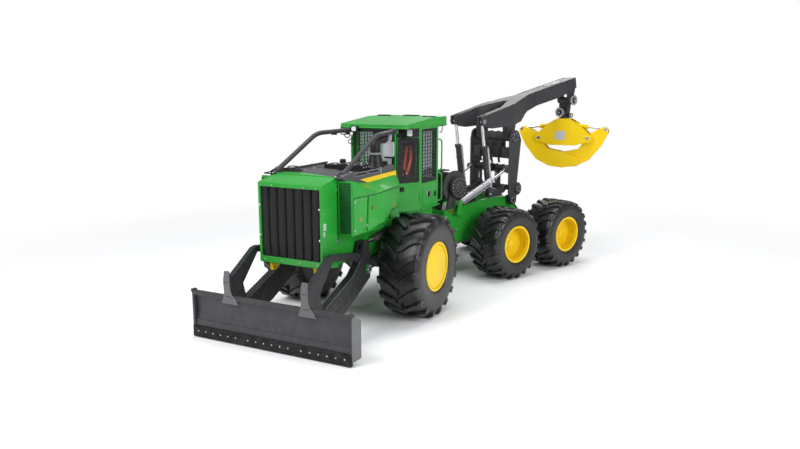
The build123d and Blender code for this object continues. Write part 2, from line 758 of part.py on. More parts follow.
# ---------------------------------------------------------------- blade
ARM_OUTLINE = [
    (-1210, 1500),
    (-1060, 1500),
    (-1000, 1120),
    (-1020, 860),
    (-1780, 470),
    (-2520, 250),
    (-2560, 640),
    (-2350, 670),
    (-1560, 990),
    (-1330, 1200),
]
LINK_OUTLINE = [
    (-1400, 1170),
    (-1250, 1290),
    (-1390, 1340),
    (-2080, 1450),
    (-2180, 1430),
    (-2760, 1060),
    (-2800, 1180),
    (-2830, 1000),
    (-2790, 760),
    (-2400, 640),
    (-2480, 920),
    (-2100, 1350),
    (-1480, 1240),
]
with BuildPart() as blade:
    # concave mouldboard
    with BuildSketch(Plane.YZ.offset(-BLADE_W / 2)):
        with BuildLine():
            Polyline(
                (BLADE_FACE_Y + 30, BLADE_FOOT_Z + 230),
                (BLADE_FACE_Y, BLADE_FOOT_Z + 60),
                (BLADE_FACE_Y + 40, BLADE_FOOT_Z + 60),
                (BLADE_FACE_Y + 200, BLADE_FOOT_Z + 240),
                (BLADE_FACE_Y + 200, BLADE_FOOT_Z + 600),
                (BLADE_FACE_Y + 40, BLADE_FOOT_Z + BLADE_H),
                (BLADE_FACE_Y, BLADE_FOOT_Z + BLADE_H),
            )
            ThreePointArc(
                (BLADE_FACE_Y, BLADE_FOOT_Z + BLADE_H),
                (BLADE_FACE_Y + 70, BLADE_FOOT_Z + 480),
                (BLADE_FACE_Y + 30, BLADE_FOOT_Z + 230),
            )
        make_face()
    extrude(amount=BLADE_W)
    for x in (-BLADE_W / 2, BLADE_W / 2 - 25):
        with BuildSketch(Plane.YZ.offset(x)):
            Polygon(
                (BLADE_FACE_Y, BLADE_FOOT_Z + 60),
                (BLADE_FACE_Y, BLADE_FOOT_Z + BLADE_H),
                (BLADE_FACE_Y + 250, BLADE_FOOT_Z + 640),
                (BLADE_FACE_Y + 250, BLADE_FOOT_Z + 60),
                align=None,
            )
        extrude(amount=25)
hand_over(blade, "blade", FRONT)

with BuildPart() as cutting_edge:
    with BuildSketch(Plane.YZ.offset(-BLADE_W / 2)):
        Polygon(
            (BLADE_FACE_Y - 25, BLADE_FOOT_Z),
            (BLADE_FACE_Y + 40, BLADE_FOOT_Z),
            (BLADE_FACE_Y + 40, BLADE_FOOT_Z + 60),
            (BLADE_FACE_Y, BLADE_FOOT_Z + 60),
            (BLADE_FACE_Y, BLADE_FOOT_Z + 180),
            (BLADE_FACE_Y - 25, BLADE_FOOT_Z + 180),
            align=None,
        )
    extrude(amount=BLADE_W)
hand_over(cutting_edge, "cutting_edge", FRONT)

with BuildPart() as blade_arms:
    for side in (-1, 1):
        x_low = ARM_X[0] if side > 0 else -ARM_X[1]
        with BuildSketch(Plane.YZ.offset(x_low)):
            Polygon(*ARM_OUTLINE, align=None)
            with Locations(BLADE_PIVOT):
                Circle(60 + RUNNING, mode=Mode.SUBTRACT)
        extrude(amount=ARM_X[1] - ARM_X[0])
        # the slot in the arm's head for the rod's eye
        with BuildSketch(Plane.YZ.offset(side * BLADE_CYL_X - BLADE_EYE_T / 2 - SIDE_GAP)):
            Polygon((-1260, 1290), (-1260, 1600), (-950, 1600), (-950, 1290), align=None)
        extrude(amount=BLADE_EYE_T + 2 * SIDE_GAP, mode=Mode.SUBTRACT)
        with BuildSketch(Plane.YZ.offset(x_low + 20)):
            Polygon(*LINK_OUTLINE, align=None)
        extrude(amount=ARM_X[1] - ARM_X[0] - 40)
    add(blade.part, mode=Mode.SUBTRACT)
hand_over(blade_arms, "blade_arms", FRONT)

# ---------------------------------------------------------------- cylinders
EYE_SHANK = 82  # from the pin to the barrel's foot, clear of the ears
BARREL_FOOT = 30


def cylinder_pair(name, base, rod_pin, x, radius, rod_r, barrel_length, eye_t, place):
    """Barrels and rods of two like cylinders at -x and x, in the YZ plane."""
    along = Vector(0, rod_pin[0] - base[0], rod_pin[1] - base[1])
    reach = along.length
    for kind in ("barrels", "rods"):
        with BuildPart() as pair:
            for side in (-x, x):
                start = Vector(side, *base)
                end = Vector(side, *rod_pin)
                axis = Plane(origin=start, x_dir=(1, 0, 0), z_dir=along)
                if kind == "barrels":
                    with BuildSketch(Plane.YZ.offset(side - eye_t / 2)):
                        with Locations(base):
                            Circle(radius * 0.85)
                    extrude(amount=eye_t)
                    with BuildSketch(axis):
                        Rectangle(eye_t, radius * 1.3)
                    extrude(amount=EYE_SHANK)
                    with BuildSketch(Plane.YZ.offset(side - eye_t / 2)):
                        with Locations(base):
                            Circle(CYL_PIN_R + RUNNING)
                    extrude(amount=eye_t, mode=Mode.SUBTRACT)
                    with BuildSketch(axis.offset(EYE_SHANK)):
                        Circle(radius * 0.9)
                    extrude(amount=BARREL_FOOT)
                    with BuildSketch(axis.offset(EYE_SHANK + BARREL_FOOT)):
                        Circle(radius * 0.9)
                        Circle(rod_r + SEAT_GAP, mode=Mode.SUBTRACT)
                    extrude(amount=barrel_length - EYE_SHANK - BARREL_FOOT)
                    with BuildSketch(axis.offset(barrel_length - 70)):
                        Circle(radius)
                        Circle(rod_r + SEAT_GAP, mode=Mode.SUBTRACT)
                    extrude(amount=70)
                else:
                    with BuildSketch(axis.offset(barrel_length - 120)):
                        Circle(rod_r)
                    extrude(amount=reach - barrel_length + 120)
                    with BuildSketch(Plane.YZ.offset(side - eye_t / 2)):
                        with Locations(rod_pin):
                            Circle(radius * 0.85)
                    extrude(amount=eye_t)
        hand_over(pair, f"{name}_{kind}", place)


EYE_T = 50  # the arch's and boom's cylinders
cylinder_pair(
    "blade", BLADE_BARREL_PIN, BLADE_ROD_PIN, BLADE_CYL_X, 48, 28, 620, BLADE_EYE_T, FRONT
)

# ---------------------------------------------------------------- rear chassis
REAR_FRONT_Y = 2620
REAR_END_Y = 4900
REAR_TOP = [(REAR_FRONT_Y, 1420), (3910, 1560)]
REAR_OUTLINE = [
    (REAR_FRONT_Y, 760),
    *REAR_TOP,
    (4480, 1560),
    (4720, 1440),
    (REAR_END_Y, 1250),
    (REAR_END_Y, 1020),
    (4280, 1020),
    (4100, 900),
    (3530, 740),
    (3040, 700),
]
with BuildPart() as rear_chassis:
    for x in (-REAR_SIDE_X, REAR_SIDE_X - PLATE):
        with BuildSketch(Plane.YZ.offset(x)):
            Polygon(*REAR_OUTLINE, align=None)
            with Locations(ARCH_PIVOT):
                Circle(105)
        extrude(amount=PLATE)
    # arch pins, and ears for the arch cylinders
    for side in (-1, 1):
        with BuildSketch(Plane.YZ.offset(side * (REAR_SIDE_X - PLATE))):
            with Locations(ARCH_PIVOT):
                Circle(PIN_R)
        extrude(amount=side * (ARCH_X[1] + 10 - REAR_SIDE_X + PLATE))
        for x in (455, 555):
            with BuildSketch(Plane.YZ.offset(side * x)):
                with Locations(ARCH_BARREL_PIN):
                    Circle(65)
                Polygon((2860, 1340), (3060, 1340), (3020, 1560), (2900, 1560), align=None)
            extrude(amount=side * 35)
        with BuildSketch(Plane.YZ.offset(side * 480)):
            with Locations(ARCH_BARREL_PIN):
                Circle(CYL_PIN_R)
        extrude(amount=side * 90)
        with BuildSketch(Plane.XY.offset(1340)):
            with Locations((side * 520, 2960)):
                Rectangle(140, 200)
        extrude(amount=60)
hand_over(rear_chassis, "rear_chassis", REAR)

with BuildPart() as rear_crossplates:
    for y, z_low, z_high in ((REAR_FRONT_Y, 760, 1420), (REAR_END_Y - PLATE, 1020, 1250)):
        with BuildSketch(Plane.XY.offset(z_low)):
            with Locations((0, y + PLATE / 2)):
                Rectangle(2 * REAR_SIDE_X - 2 * PLATE, PLATE)
        extrude(amount=z_high - z_low)
    # deck under the winch
    with BuildSketch(Plane.YZ.offset(-REAR_SIDE_X + PLATE)):
        Polygon((2640, 1340), (2640, 1370), (3900, 1500), (3900, 1470), align=None)
    extrude(amount=2 * REAR_SIDE_X - 2 * PLATE)
    # lugs and pins of the articulation
    for z in (UPPER_JOINT_Z, LOWER_JOINT_Z):
        with BuildSketch(Plane.XY.offset(z + LUG_T + SIDE_GAP)):
            Polygon(
                (-LUG_R - 120, REAR_FRONT_Y),
                (LUG_R + 120, REAR_FRONT_Y),
                (LUG_R, PIVOT_Y),
                (-LUG_R, PIVOT_Y),
                align=None,
            )
            with Locations((0, PIVOT_Y)):
                Circle(LUG_R)
        extrude(amount=LUG_T)
        with BuildSketch(Plane.XY.offset(z)):
            with Locations((0, PIVOT_Y)):
                Circle(PIN_R)
        extrude(amount=3 * LUG_T + 2 * SIDE_GAP)
    # tow lug on the end plate
    with BuildSketch(Plane.XY.offset(REAR_TOW[1] - TOW_PLATE / 2)):
        Polygon(*mirrored([(140, REAR_END_Y), (60, REAR_TOW[0] + 40)]), align=None)
        with Locations((0, REAR_TOW[0])):
            Circle(60)
            Circle(TOW_R, mode=Mode.SUBTRACT)
    extrude(amount=TOW_PLATE)
hand_over(rear_crossplates, "rear_crossplates", REAR)

with BuildPart() as bogie:
    with BuildSketch(Plane.XZ):
        Polygon(
            *mirrored(
                [
                    (0, 230),
                    (160, 230),
                    (300, 130),
                    (BEAM_X[0], 130),
                    (BEAM_X[0], 0),
                ]
            ),
            align=None,
        )
    revolve(axis=Axis.X)
    with BuildSketch(Plane.XY):
        with GridLocations(2 * (REAR_SIDE_X - 60), 0, 2, 1):
            Rectangle(120, 300)
    extrude(amount=1020 - AXLE_Z)
    # the beams that carry two wheels a side
    wheel_z = REAR_TYRE["radius"] - AXLE_Z
    half = BOGIE_SPACING / 2
    for side in (-1, 1):
        with BuildSketch(Plane.YZ.offset(side * BEAM_X[0])):
            Polygon(
                *mirrored([(60, 190), (half + 20, wheel_z + 148), (half + 20, wheel_z - 148)]),
                align=None,
            )
            with Locations((-half, wheel_z), (half, wheel_z)):
                Circle(150)
            Circle(190)
        extrude(amount=side * (BEAM_X[1] - BEAM_X[0]))
        hub = REAR_TYRE["middle"] - REAR_TYRE["width"] / 2 + 40 + 200
        for y in (-half, half):
            for start, end, r in (
                (BEAM_X[1], hub - SEAT_GAP, SPINDLE_R + 30),
                (hub - SEAT_GAP, REAR_TYRE["middle"] + 40, SPINDLE_R),
            ):
                with BuildSketch(Plane.YZ.offset(side * start)):
                    with Locations((y, wheel_z)):
                        Circle(r)
                extrude(amount=side * (end - start))
hand_over(bogie, "bogie", REAR * Pos(0, BOGIE_Y, AXLE_Z))

# ---------------------------------------------------------------- winch
SHAFT_R = 60
GEARBOX_R = 215
with BuildPart() as winch_frame:
    for x in (-REAR_SIDE_X, REAR_SIDE_X - PLATE):
        with BuildSketch(Plane.YZ.offset(x)):
            Polygon(
                between(*REAR_TOP, 0.05),
                between(*REAR_TOP, 0.5),
                (WINCH[0] + 130, WINCH[1] + 60),
                (WINCH[0] + 60, WINCH[1] + 150),
                (WINCH[0] - 60, WINCH[1] + 150),
                (WINCH[0] - 130, WINCH[1] + 60),
                align=None,
            )
            with Locations(WINCH):
                Circle(SHAFT_R + RUNNING, mode=Mode.SUBTRACT)
        extrude(amount=PLATE)
    # the gearboxes that the shaft's ends run into
    for side in (-1, 1):
        for start, end, r in ((REAR_SIDE_X, 530, GEARBOX_R), (530, 550, 90)):
            with BuildSketch(Plane.YZ.offset(side * start)):
                with Locations(WINCH):
                    Circle(r)
            extrude(amount=side * (end - start))
hand_over(winch_frame, "winch_frame", REAR)

with BuildPart() as winch_drum:
    with BuildSketch(Plane.XZ):
        Polygon(
            *mirrored(
                [
                    (0, 180),
                    (370, 180),
                    (370, WINCH_R),
                    (400, WINCH_R),
                    (400, SHAFT_R),
                    (REAR_SIDE_X - SEAT_GAP, SHAFT_R),
                    (REAR_SIDE_X - SEAT_GAP, 0),
                ]
            ),
            align=None,
        )
    revolve(axis=Axis.X)
hand_over(winch_drum, "winch_drum", REAR * Pos(0, *WINCH))

# ---------------------------------------------------------------- arch
FORK_X = (BOOM_CYL_X - 75, BOOM_CYL_X + 75)
ARCH_BOSS = (4714, 1723)
ARCH_SIDE = [
    (4450, ARCH_PIVOT[1] + 180),
    (BOOM_PIVOT[0] - 165, BOOM_PIVOT[1] - 60),
    (BOOM_PIVOT[0] - 130, BOOM_PIVOT[1] + 75),
    (BOOM_PIVOT[0] + 130, BOOM_PIVOT[1] + 75),
    (BOOM_PIVOT[0] + 195, BOOM_PIVOT[1] - 60),
    (4705, 1920),
    (ARCH_PIVOT[0] + 100, ARCH_PIVOT[1]),
    (ARCH_PIVOT[0] - 100, ARCH_PIVOT[1]),
]
with BuildPart() as arch:
    for side in (-1, 1):
        with BuildSketch(Plane.YZ.offset(side * ARCH_X[0])):
            Polygon(*ARCH_SIDE, align=None)
            with Locations(BOOM_PIVOT):
                Circle(150)
            with Locations(ARCH_BOSS):
                Circle(145)
            with Locations(ARCH_PIVOT):
                Circle(100)
                Circle(PIN_R + RUNNING, mode=Mode.SUBTRACT)
            with Locations(ARCH_ROD_PIN):
                Circle(70)
        extrude(amount=side * (ARCH_X[1] - ARCH_X[0]))
        with BuildSketch(Plane.YZ.offset(side * (REAR_SIDE_X + 15))):
            with Locations(ARCH_PIVOT):
                Circle(80)
                Circle(PIN_R + RUNNING, mode=Mode.SUBTRACT)
        extrude(amount=side * (ARCH_X[0] - REAR_SIDE_X - 15))
        # inner ear of the arch cylinder
        with BuildSketch(Plane.YZ.offset(side * 465)):
            Polygon((4340, 2160), (4480, 2160), (4560, 2100), (4560, 2260), (4420, 2230), align=None)
            with Locations(ARCH_ROD_PIN):
                Circle(65)
        extrude(amount=side * 25)
        # ears of the boom cylinder
        for x in (BOOM_CYL_X - EYE_T / 2 - 35, BOOM_CYL_X + EYE_T / 2 + 10):
            with BuildSketch(Plane.YZ.offset(side * x)):
                Polygon(
                    (4000, 1590), (4440, 1650), (4500, 1700), (4500, 1820), (4300, 1740), (4000, 1710),
                    align=None,
                )
                with Locations(BOOM_CYL_BASE):
                    Circle(60)
            extrude(amount=side * 25)
        with BuildSketch(Plane.YZ.offset(side * (BOOM_CYL_X - EYE_T / 2 - 15))):
            with Locations(BOOM_CYL_BASE):
                Circle(CYL_PIN_R)
        extrude(amount=side * (EYE_T + 30))
        # boom pin
        with BuildSketch(Plane.YZ.offset(side * (FORK_X[0] - 25))):
            with Locations(BOOM_PIVOT):
                Circle(PIN_R)
        extrude(amount=side * (ARCH_X[0] - FORK_X[0] + 25))
    # cross members
    for y, z, r in ((4550, 1760, 60), (4560, 2180, 70)):
        with BuildSketch(Plane.YZ.offset(-ARCH_X[0])):
            with Locations((y, z)):
                Circle(r)
        extrude(amount=2 * ARCH_X[0])
    with BuildSketch(Plane.YZ.offset(-ARCH_X[0])):
        with Locations((4560, 2520)):
            Rectangle(140, 240)
    extrude(amount=2 * ARCH_X[0])
    # the tube round the boom pin, with the web under it
    with BuildSketch(Plane.YZ.offset(SIDE_GAP - FORK_X[0])):
        with Locations(BOOM_PIVOT):
            Circle(100)
        with Locations((4590, 2720)):
            Rectangle(60, 200)
    extrude(amount=2 * (FORK_X[0] - SIDE_GAP))
hand_over(arch, "arch", REAR)

with BuildPart() as fairlead:
    with BuildSketch(Plane.XY.offset(1820 + SEAT_GAP)):
        with Locations((-120, 4560), (120, 4560)):
            Circle(40)
    extrude(amount=290 - 2 * SEAT_GAP)
hand_over(fairlead, "fairlead", REAR)

cylinder_pair(
    "arch", ARCH_BARREL_PIN, ARCH_ROD_PIN, ARCH_CYL_X, 66, 32, 1080, EYE_T, REAR
)
cylinder_pair(
    "boom", BOOM_CYL_BASE, BOOM_FORK_PIN, BOOM_CYL_X, 62, 34, 1060, EYE_T, REAR
)

# ---------------------------------------------------------------- boom
BOOM_SIDE = [
    (BOOM_FORK_PIN[0] - 70, BOOM_FORK_PIN[1] - 80),
    (BOOM_FORK_PIN[0] - 90, BOOM_FORK_PIN[1] + 100),
    (BOOM_PIVOT[0] + 40, BOOM_PIVOT[1] + 700),
    (5810, 3840),
    (TIP_PIN[0] + 150, TIP_PIN[1] + 540),
    (TIP_PIN[0] + 200, TIP_PIN[1] + 300),
    (6590, 3680),
    (5820, 3520),
    (5370, 3350),
    (5110, 3180),
    (4540, 3100),
    (4020, 3070),
]
BOOM_PLAN = [
    (FORK_X[1], BOOM_FORK_PIN[0] - 160),
    (FORK_X[1], BOOM_PIVOT[0] + 90),
    (BOOM_HALF, 5500),
    (BOOM_HALF, TIP_PIN[0] + 200),
]
with BuildPart() as boom:
    with BuildSketch(Plane.YZ.offset(-FORK_X[1])):
        Polygon(*BOOM_SIDE, align=None)
    extrude(amount=2 * FORK_X[1])
    with BuildSketch(Plane.XY.offset(3000)):
        Polygon(*mirrored(BOOM_PLAN), align=None)
        Polygon(
            *mirrored([(FORK_X[0], 3590), (FORK_X[0], 4420), (60, 4950)]),
            align=None,
            mode=Mode.SUBTRACT,
        )
    extrude(amount=1300, mode=Mode.INTERSECT)
    for side in (-1, 1):
        with BuildSketch(Plane.YZ.offset(side * FORK_X[0])):
            Polygon((4480, 3120), (4760, 3150), (4700, 2870), (4520, 2870), align=None)
            with Locations(BOOM_PIVOT):
                Circle(105)
                Circle(PIN_R + RUNNING, mode=Mode.SUBTRACT)
        extrude(amount=side * (FORK_X[1] - FORK_X[0]))
        # slot for the rod's eye
        with BuildSketch(Plane.YZ.offset(side * (BOOM_CYL_X - EYE_T / 2 - 10))):
            Polygon((3600, 3000), (3600, 3400), (3860, 3400), (3860, 3000), align=None)
        extrude(amount=side * (EYE_T + 20), mode=Mode.SUBTRACT)
        # ears at the tip
        with BuildSketch(Plane.YZ.offset(side * 120)):
            Polygon(
                (TIP_PIN[0] - 120, TIP_PIN[1] + 210),
                (TIP_PIN[0] + 150, TIP_PIN[1] + 280),
                (TIP_PIN[0] + 80, TIP_PIN[1]),
                (TIP_PIN[0] - 80, TIP_PIN[1]),
                align=None,
            )
            with Locations(TIP_PIN):
                Circle(80)
                Circle(35 + RUNNING, mode=Mode.SUBTRACT)
        extrude(amount=side * (BOOM_HALF - 120))
hand_over(boom, "boom", REAR)

# ---------------------------------------------------------------- crosshead and swing link
TIP = REAR * Pos(0, TIP_PIN[0], 0)
with BuildPart() as crosshead:
    with BuildSketch(Plane.YZ.offset(-115)):
        with Locations((0, TIP_PIN[1])):
            Circle(80)
        Polygon((-60, TIP_PIN[1]), (60, TIP_PIN[1]), (60, SWING_Z), (-60, SWING_Z), align=None)
    extrude(amount=230)
    with BuildSketch(Plane.XZ.offset(-60)):
        with Locations((0, SWING_Z)):
            Circle(75)
    extrude(amount=120)
    with BuildSketch(Plane.YZ.offset(-BOOM_HALF - 10)):
        with Locations((0, TIP_PIN[1])):
            Circle(35)
    extrude(amount=2 * BOOM_HALF + 100)
    with BuildSketch(Plane.YZ.offset(BOOM_HALF + SIDE_GAP)):
        with Locations((0, TIP_PIN[1])):
            Circle(100)
    extrude(amount=85)
    # brake disc of the lower pin
    with BuildSketch(Plane.XZ.offset(-130)):
        with Locations((0, SWING_Z)):
            Circle(35)
    extrude(amount=290)
    with BuildSketch(Plane.XZ.offset(125)):
        with Locations((0, SWING_Z)):
            Circle(100)
    extrude(amount=80)
hand_over(crosshead, "crosshead", TIP)

with BuildPart() as swing_link:
    for y in (-120, 65):
        with BuildSketch(Plane.XZ.offset(-y - 55)):
            with Locations((0, SWING_Z)):
                Circle(70)
            Polygon(
                (-70, SWING_Z), (70, SWING_Z), (70, HEAD_Z + 30), (-70, HEAD_Z + 30), align=None
            )
            with Locations((0, SWING_Z)):
                Circle(35 + RUNNING, mode=Mode.SUBTRACT)
        extrude(amount=55)
    with BuildSketch(Plane.XY.offset(HEAD_Z + SEAT_GAP)):
        Circle(125)
    extrude(amount=45)
    with BuildSketch(Plane.XY.offset(HEAD_Z - 60)):
        Circle(50)
    extrude(amount=70)
hand_over(swing_link, "swing_link", TIP)

# ---------------------------------------------------------------- grapple
HEAD = TIP * Rot(0, 0, HEAD_YAW)
HEAD_V = (205, 235)  # the head's plates, off its middle plane
TONG_V = {"left": (0, 110), "right": (118, 195)}
CYL_BASE = (120, 3040)
CYL_LUG = (1000, 2930)
TONG_PIN_R = 40
HEAD_OUTLINE = [
    (150, HEAD_Z),
    (330, 3080),
    (TONG_X + 65, TONG_Z + 75),
    (TONG_X + 65, TONG_Z - 70),
    (TONG_X - 20, TONG_Z - 100),
    (300, 2540),
]
with BuildPart() as grapple_head:
    for v in (-HEAD_V[1], HEAD_V[0]):
        with BuildSketch(Plane.XZ.offset(-v - HEAD_V[1] + HEAD_V[0])):
            Polygon(*mirrored(HEAD_OUTLINE), align=None)
            with Locations((-TONG_X, TONG_Z), (TONG_X, TONG_Z)):
                Circle(105)
        extrude(amount=HEAD_V[1] - HEAD_V[0])
    with BuildSketch(Plane.XY.offset(HEAD_Z - 60)):
        Rectangle(300, 2 * HEAD_V[0])
        Circle(50 + RUNNING, mode=Mode.SUBTRACT)
    extrude(amount=60)
    # pins of the tongs
    for u in (-TONG_X, TONG_X):
        with BuildSketch(Plane.XZ.offset(-HEAD_V[0])):
            with Locations((u, TONG_Z)):
                Circle(TONG_PIN_R)
        extrude(amount=2 * HEAD_V[0])
    # ears of the grapple cylinders
    for v in (-80, 55):
        with BuildSketch(Plane.XZ.offset(-v - 25)):
            Polygon((-180, 2990), (180, 2990), (150, HEAD_Z - 60), (-150, HEAD_Z - 60), align=None)
        extrude(amount=25)
    for u in (-CYL_BASE[0], CYL_BASE[0]):
        with BuildSketch(Plane.XZ.offset(-60)):
            with Locations((u, CYL_BASE[1])):
                Circle(CYL_PIN_R)
        extrude(amount=120)
hand_over(grapple_head, "grapple_head", HEAD)

TONG_OUTLINE = [
    (940, 2990),
    (1065, 2930),
    (1040, 2800),
    (900, 2520),
    (640, 2190),
    (330, 2030),
    (0, 1990),
    (-420, 2080),
    (-380, 2250),
    (0, 2370),
    (350, 2440),
    (480, 2600),
    (500, 2720),
    (585, 2805),
]
for name, side in (("left", 1), ("right", -1)):
    low, high = TONG_V[name]
    with BuildPart() as tong:
        for v in ((-high, 2 * high),) if low == 0 else ((-high, high - low), (low, high - low)):
            with BuildSketch(Plane.XZ.offset(-v[0] - v[1])):
                Polygon(*[(side * u, z) for u, z in TONG_OUTLINE], align=None)
                with Locations((side * TONG_X, TONG_Z)):
                    Circle(TONG_PIN_R + RUNNING, mode=Mode.SUBTRACT)
            extrude(amount=v[1])
        if low == 0:
            # the slot for the rod's eye
            with BuildSketch(Plane.XZ.offset(-60)):
                Polygon(
                    (side * 640, 2880), (side * 900, 2830), (side * 1090, 2830),
                    (side * 1090, 3010), (side * 640, 3010),
                    align=None,
                )
            extrude(amount=120, mode=Mode.SUBTRACT)
        else:
            # the blades' cross plate
            with BuildSketch(Plane.XZ.offset(-high)):
                Polygon(
                    *[(side * u, z) for u, z in ((1030, 2790), (900, 2520), (860, 2560), (985, 2810))],
                    align=None,
                )
            extrude(amount=2 * high)
    hand_over(tong, f"tong_{name}", HEAD)

GRAPPLE_BARREL = 470
GRAPPLE_HOLD = 40  # how far the rod reaches into its barrel at rest
for kind in ("barrels", "rods"):
    for name, side in (("left", 1), ("right", -1)):
        base = Vector(side * CYL_BASE[0], 0, CYL_BASE[1])
        lug = Vector(side * CYL_LUG[0], 0, CYL_LUG[1])
        axis = Plane(origin=base, x_dir=(0, 1, 0), z_dir=lug - base)
        with BuildPart() as piece:
            if kind == "barrels":
                with BuildSketch(Plane.XZ.offset(-45)):
                    with Locations((base.X, base.Z)):
                        Circle(48)
                extrude(amount=90)
                with BuildSketch(axis.offset(30)):
                    Circle(48)
                extrude(amount=40)
                with BuildSketch(axis.offset(70)):
                    Circle(48)
                    Circle(28 + SEAT_GAP, mode=Mode.SUBTRACT)
                extrude(amount=GRAPPLE_BARREL - 70)
                with BuildSketch(Plane.XZ.offset(-45)):
                    with Locations((base.X, base.Z)):
                        Circle(CYL_PIN_R + RUNNING)
                extrude(amount=90, mode=Mode.SUBTRACT)
            else:
                with BuildSketch(axis.offset(GRAPPLE_BARREL - GRAPPLE_HOLD)):
                    Circle(28)
                extrude(amount=(lug - base).length - GRAPPLE_BARREL + GRAPPLE_HOLD)
                with BuildSketch(Plane.XZ.offset(-45)):
                    with Locations((lug.X, lug.Z)):
                        Circle(46)
                extrude(amount=90)
        hand_over(piece, f"grapple_{kind[:-1]}_{name}", HEAD)
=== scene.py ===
# %% [markdown]
# # A six-wheel grapple skidder
#
# A skidder pulls felled trees out of a forest. It bends in the middle, carries a blade in front,
# and holds the butts of the trees in a grapple that hangs from a boom behind. This lesson dresses
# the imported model: every plate, pin and cylinder already stands where the design puts it, so what
# is left is what makes it look real, which is paint, rubber, glass, tread, bolts and hoses.
#
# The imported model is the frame. It is loaded once, it is never moved, and each new piece rides on
# one of its bodies.

import json
import math

import bmesh
import bpy
import numpy as np
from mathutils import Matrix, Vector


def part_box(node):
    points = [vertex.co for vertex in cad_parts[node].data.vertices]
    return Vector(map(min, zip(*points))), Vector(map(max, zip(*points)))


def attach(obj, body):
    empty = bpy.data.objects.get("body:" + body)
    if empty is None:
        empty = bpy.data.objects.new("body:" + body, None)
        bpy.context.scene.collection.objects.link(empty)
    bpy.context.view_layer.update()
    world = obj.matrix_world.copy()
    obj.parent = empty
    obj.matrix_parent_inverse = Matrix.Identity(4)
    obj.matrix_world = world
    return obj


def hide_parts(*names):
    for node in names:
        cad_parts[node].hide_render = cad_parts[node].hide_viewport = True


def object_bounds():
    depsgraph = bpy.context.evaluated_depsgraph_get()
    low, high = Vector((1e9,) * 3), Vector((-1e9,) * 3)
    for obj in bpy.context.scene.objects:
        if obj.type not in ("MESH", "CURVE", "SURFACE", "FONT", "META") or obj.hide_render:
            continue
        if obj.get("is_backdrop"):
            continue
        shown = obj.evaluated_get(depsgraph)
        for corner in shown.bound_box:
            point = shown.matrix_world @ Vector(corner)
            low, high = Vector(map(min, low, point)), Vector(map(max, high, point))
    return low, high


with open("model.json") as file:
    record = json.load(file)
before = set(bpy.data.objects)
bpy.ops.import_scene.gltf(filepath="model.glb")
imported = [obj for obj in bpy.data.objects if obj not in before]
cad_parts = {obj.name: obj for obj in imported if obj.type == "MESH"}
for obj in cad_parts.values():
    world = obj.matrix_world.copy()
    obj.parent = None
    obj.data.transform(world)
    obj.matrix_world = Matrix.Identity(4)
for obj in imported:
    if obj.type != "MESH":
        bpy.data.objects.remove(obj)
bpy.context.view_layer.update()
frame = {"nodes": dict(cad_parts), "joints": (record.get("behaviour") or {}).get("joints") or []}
nodes = frame["nodes"]
joints = {joint["name"]: joint for joint in frame["joints"]}

# %% [markdown]
# ## Three places to draw in
#
# The machine stands bent at its waist, so its rear half is turned, and the grapple is turned again
# on its rotator. A piece is easiest to draw as if the machine were straight. A 4 by 4 matrix then
# carries it to where it stands. The matrices come from the joints themselves: the front axle lies
# between the two front wheels, the rear half turns about the waist pin, and the grapple about its
# rotator.

# %% Places
X, Y, Z = np.eye(3)


def turn_and_move(turn, at):
    """A matrix that turns about Z by an angle and then moves the origin to a point."""
    c, s = math.cos(turn), math.sin(turn)
    return np.array([[c, -s, 0, at[0]], [s, c, 0, at[1]], [0, 0, 1, at[2]], [0, 0, 0, 1]])


def unit(vector):
    """The vector scaled to a length of one."""
    return vector / np.linalg.norm(vector)


def joint_at(name):
    """Where a joint's axis stands, in metres."""
    return np.array(joints[name]["pos_m"], float)


def joint_axis(name):
    """The unit direction of a joint's axis."""
    return unit(np.array(joints[name]["axis"], float))


PIVOT_Y = 2.254  # front axle to waist pin
TIP_Y = 7.1  # front axle to the pin at the boom's tip, with the machine straight
GRAPPLE_TURN = math.radians(31)  # the grapple about its rotator
axle = (joint_at("wheel_front_left_spin") + joint_at("wheel_front_right_spin")) / 2
FRONT = turn_and_move(0, (axle[0], axle[1], 0))
rear_x = joint_axis("wheel_middle_left_spin")
rear_turn = math.atan2(rear_x[1], rear_x[0])
waist = joint_at("articulation")
REAR = turn_and_move(rear_turn, (waist[0], waist[1], 0)) @ turn_and_move(0, (0, -PIVOT_Y, 0))
TIP = REAR @ turn_and_move(0, (0, TIP_Y, 0))
HEAD = TIP @ turn_and_move(GRAPPLE_TURN, (0, 0, 0))
print("front axle at", axle.round(3), "rear turned by", round(math.degrees(rear_turn), 1), "degrees")
print("rotator off by", float(np.abs(TIP[:2, 3] - joint_at("grapple_rotate")[:2]).max()))


def carry(place, points):
    """Points times the place's turn, plus its move."""
    points = np.asarray(points, float)
    return points @ place[:3, :3].T + place[:3, 3]


# %% [markdown]
# ## Camera, floor and light
#
# The machine is looked at from its front left, from a little above the roof, with a lens slightly
# wider than normal. The floor is a plain pale sheet. Near the machine it is a real surface that
# keeps a soft shadow, and further out it fades to the same white as the background, so no horizon
# shows. The fade follows the floor's own coordinates, so it stays put when the camera moves.

# %% Camera
camera_data = bpy.data.cameras.new("studio_camera")
camera_data.lens = 33.53
camera_data.sensor_width = 36
camera_data.clip_end = 200
camera = bpy.data.objects.new("studio_camera", camera_data)
camera.location = (6.184, -13.533, 4.011)
camera.rotation_euler = (math.radians(90 - 10.694), 0, math.radians(27.84))
bpy.context.scene.collection.objects.link(camera)
bpy.context.scene.camera = camera

# %% Node helpers
SLOT_OF = {}  # the record's slot of each material


def new_material(name, slot=None):
    """A material without any nodes, and its node tree. Its slot has its own name unless it is given."""
    material = bpy.data.materials.new(name)
    SLOT_OF[material.name] = slot or name
    material.use_nodes = True
    tree = material.node_tree
    tree.nodes.clear()
    return material, tree


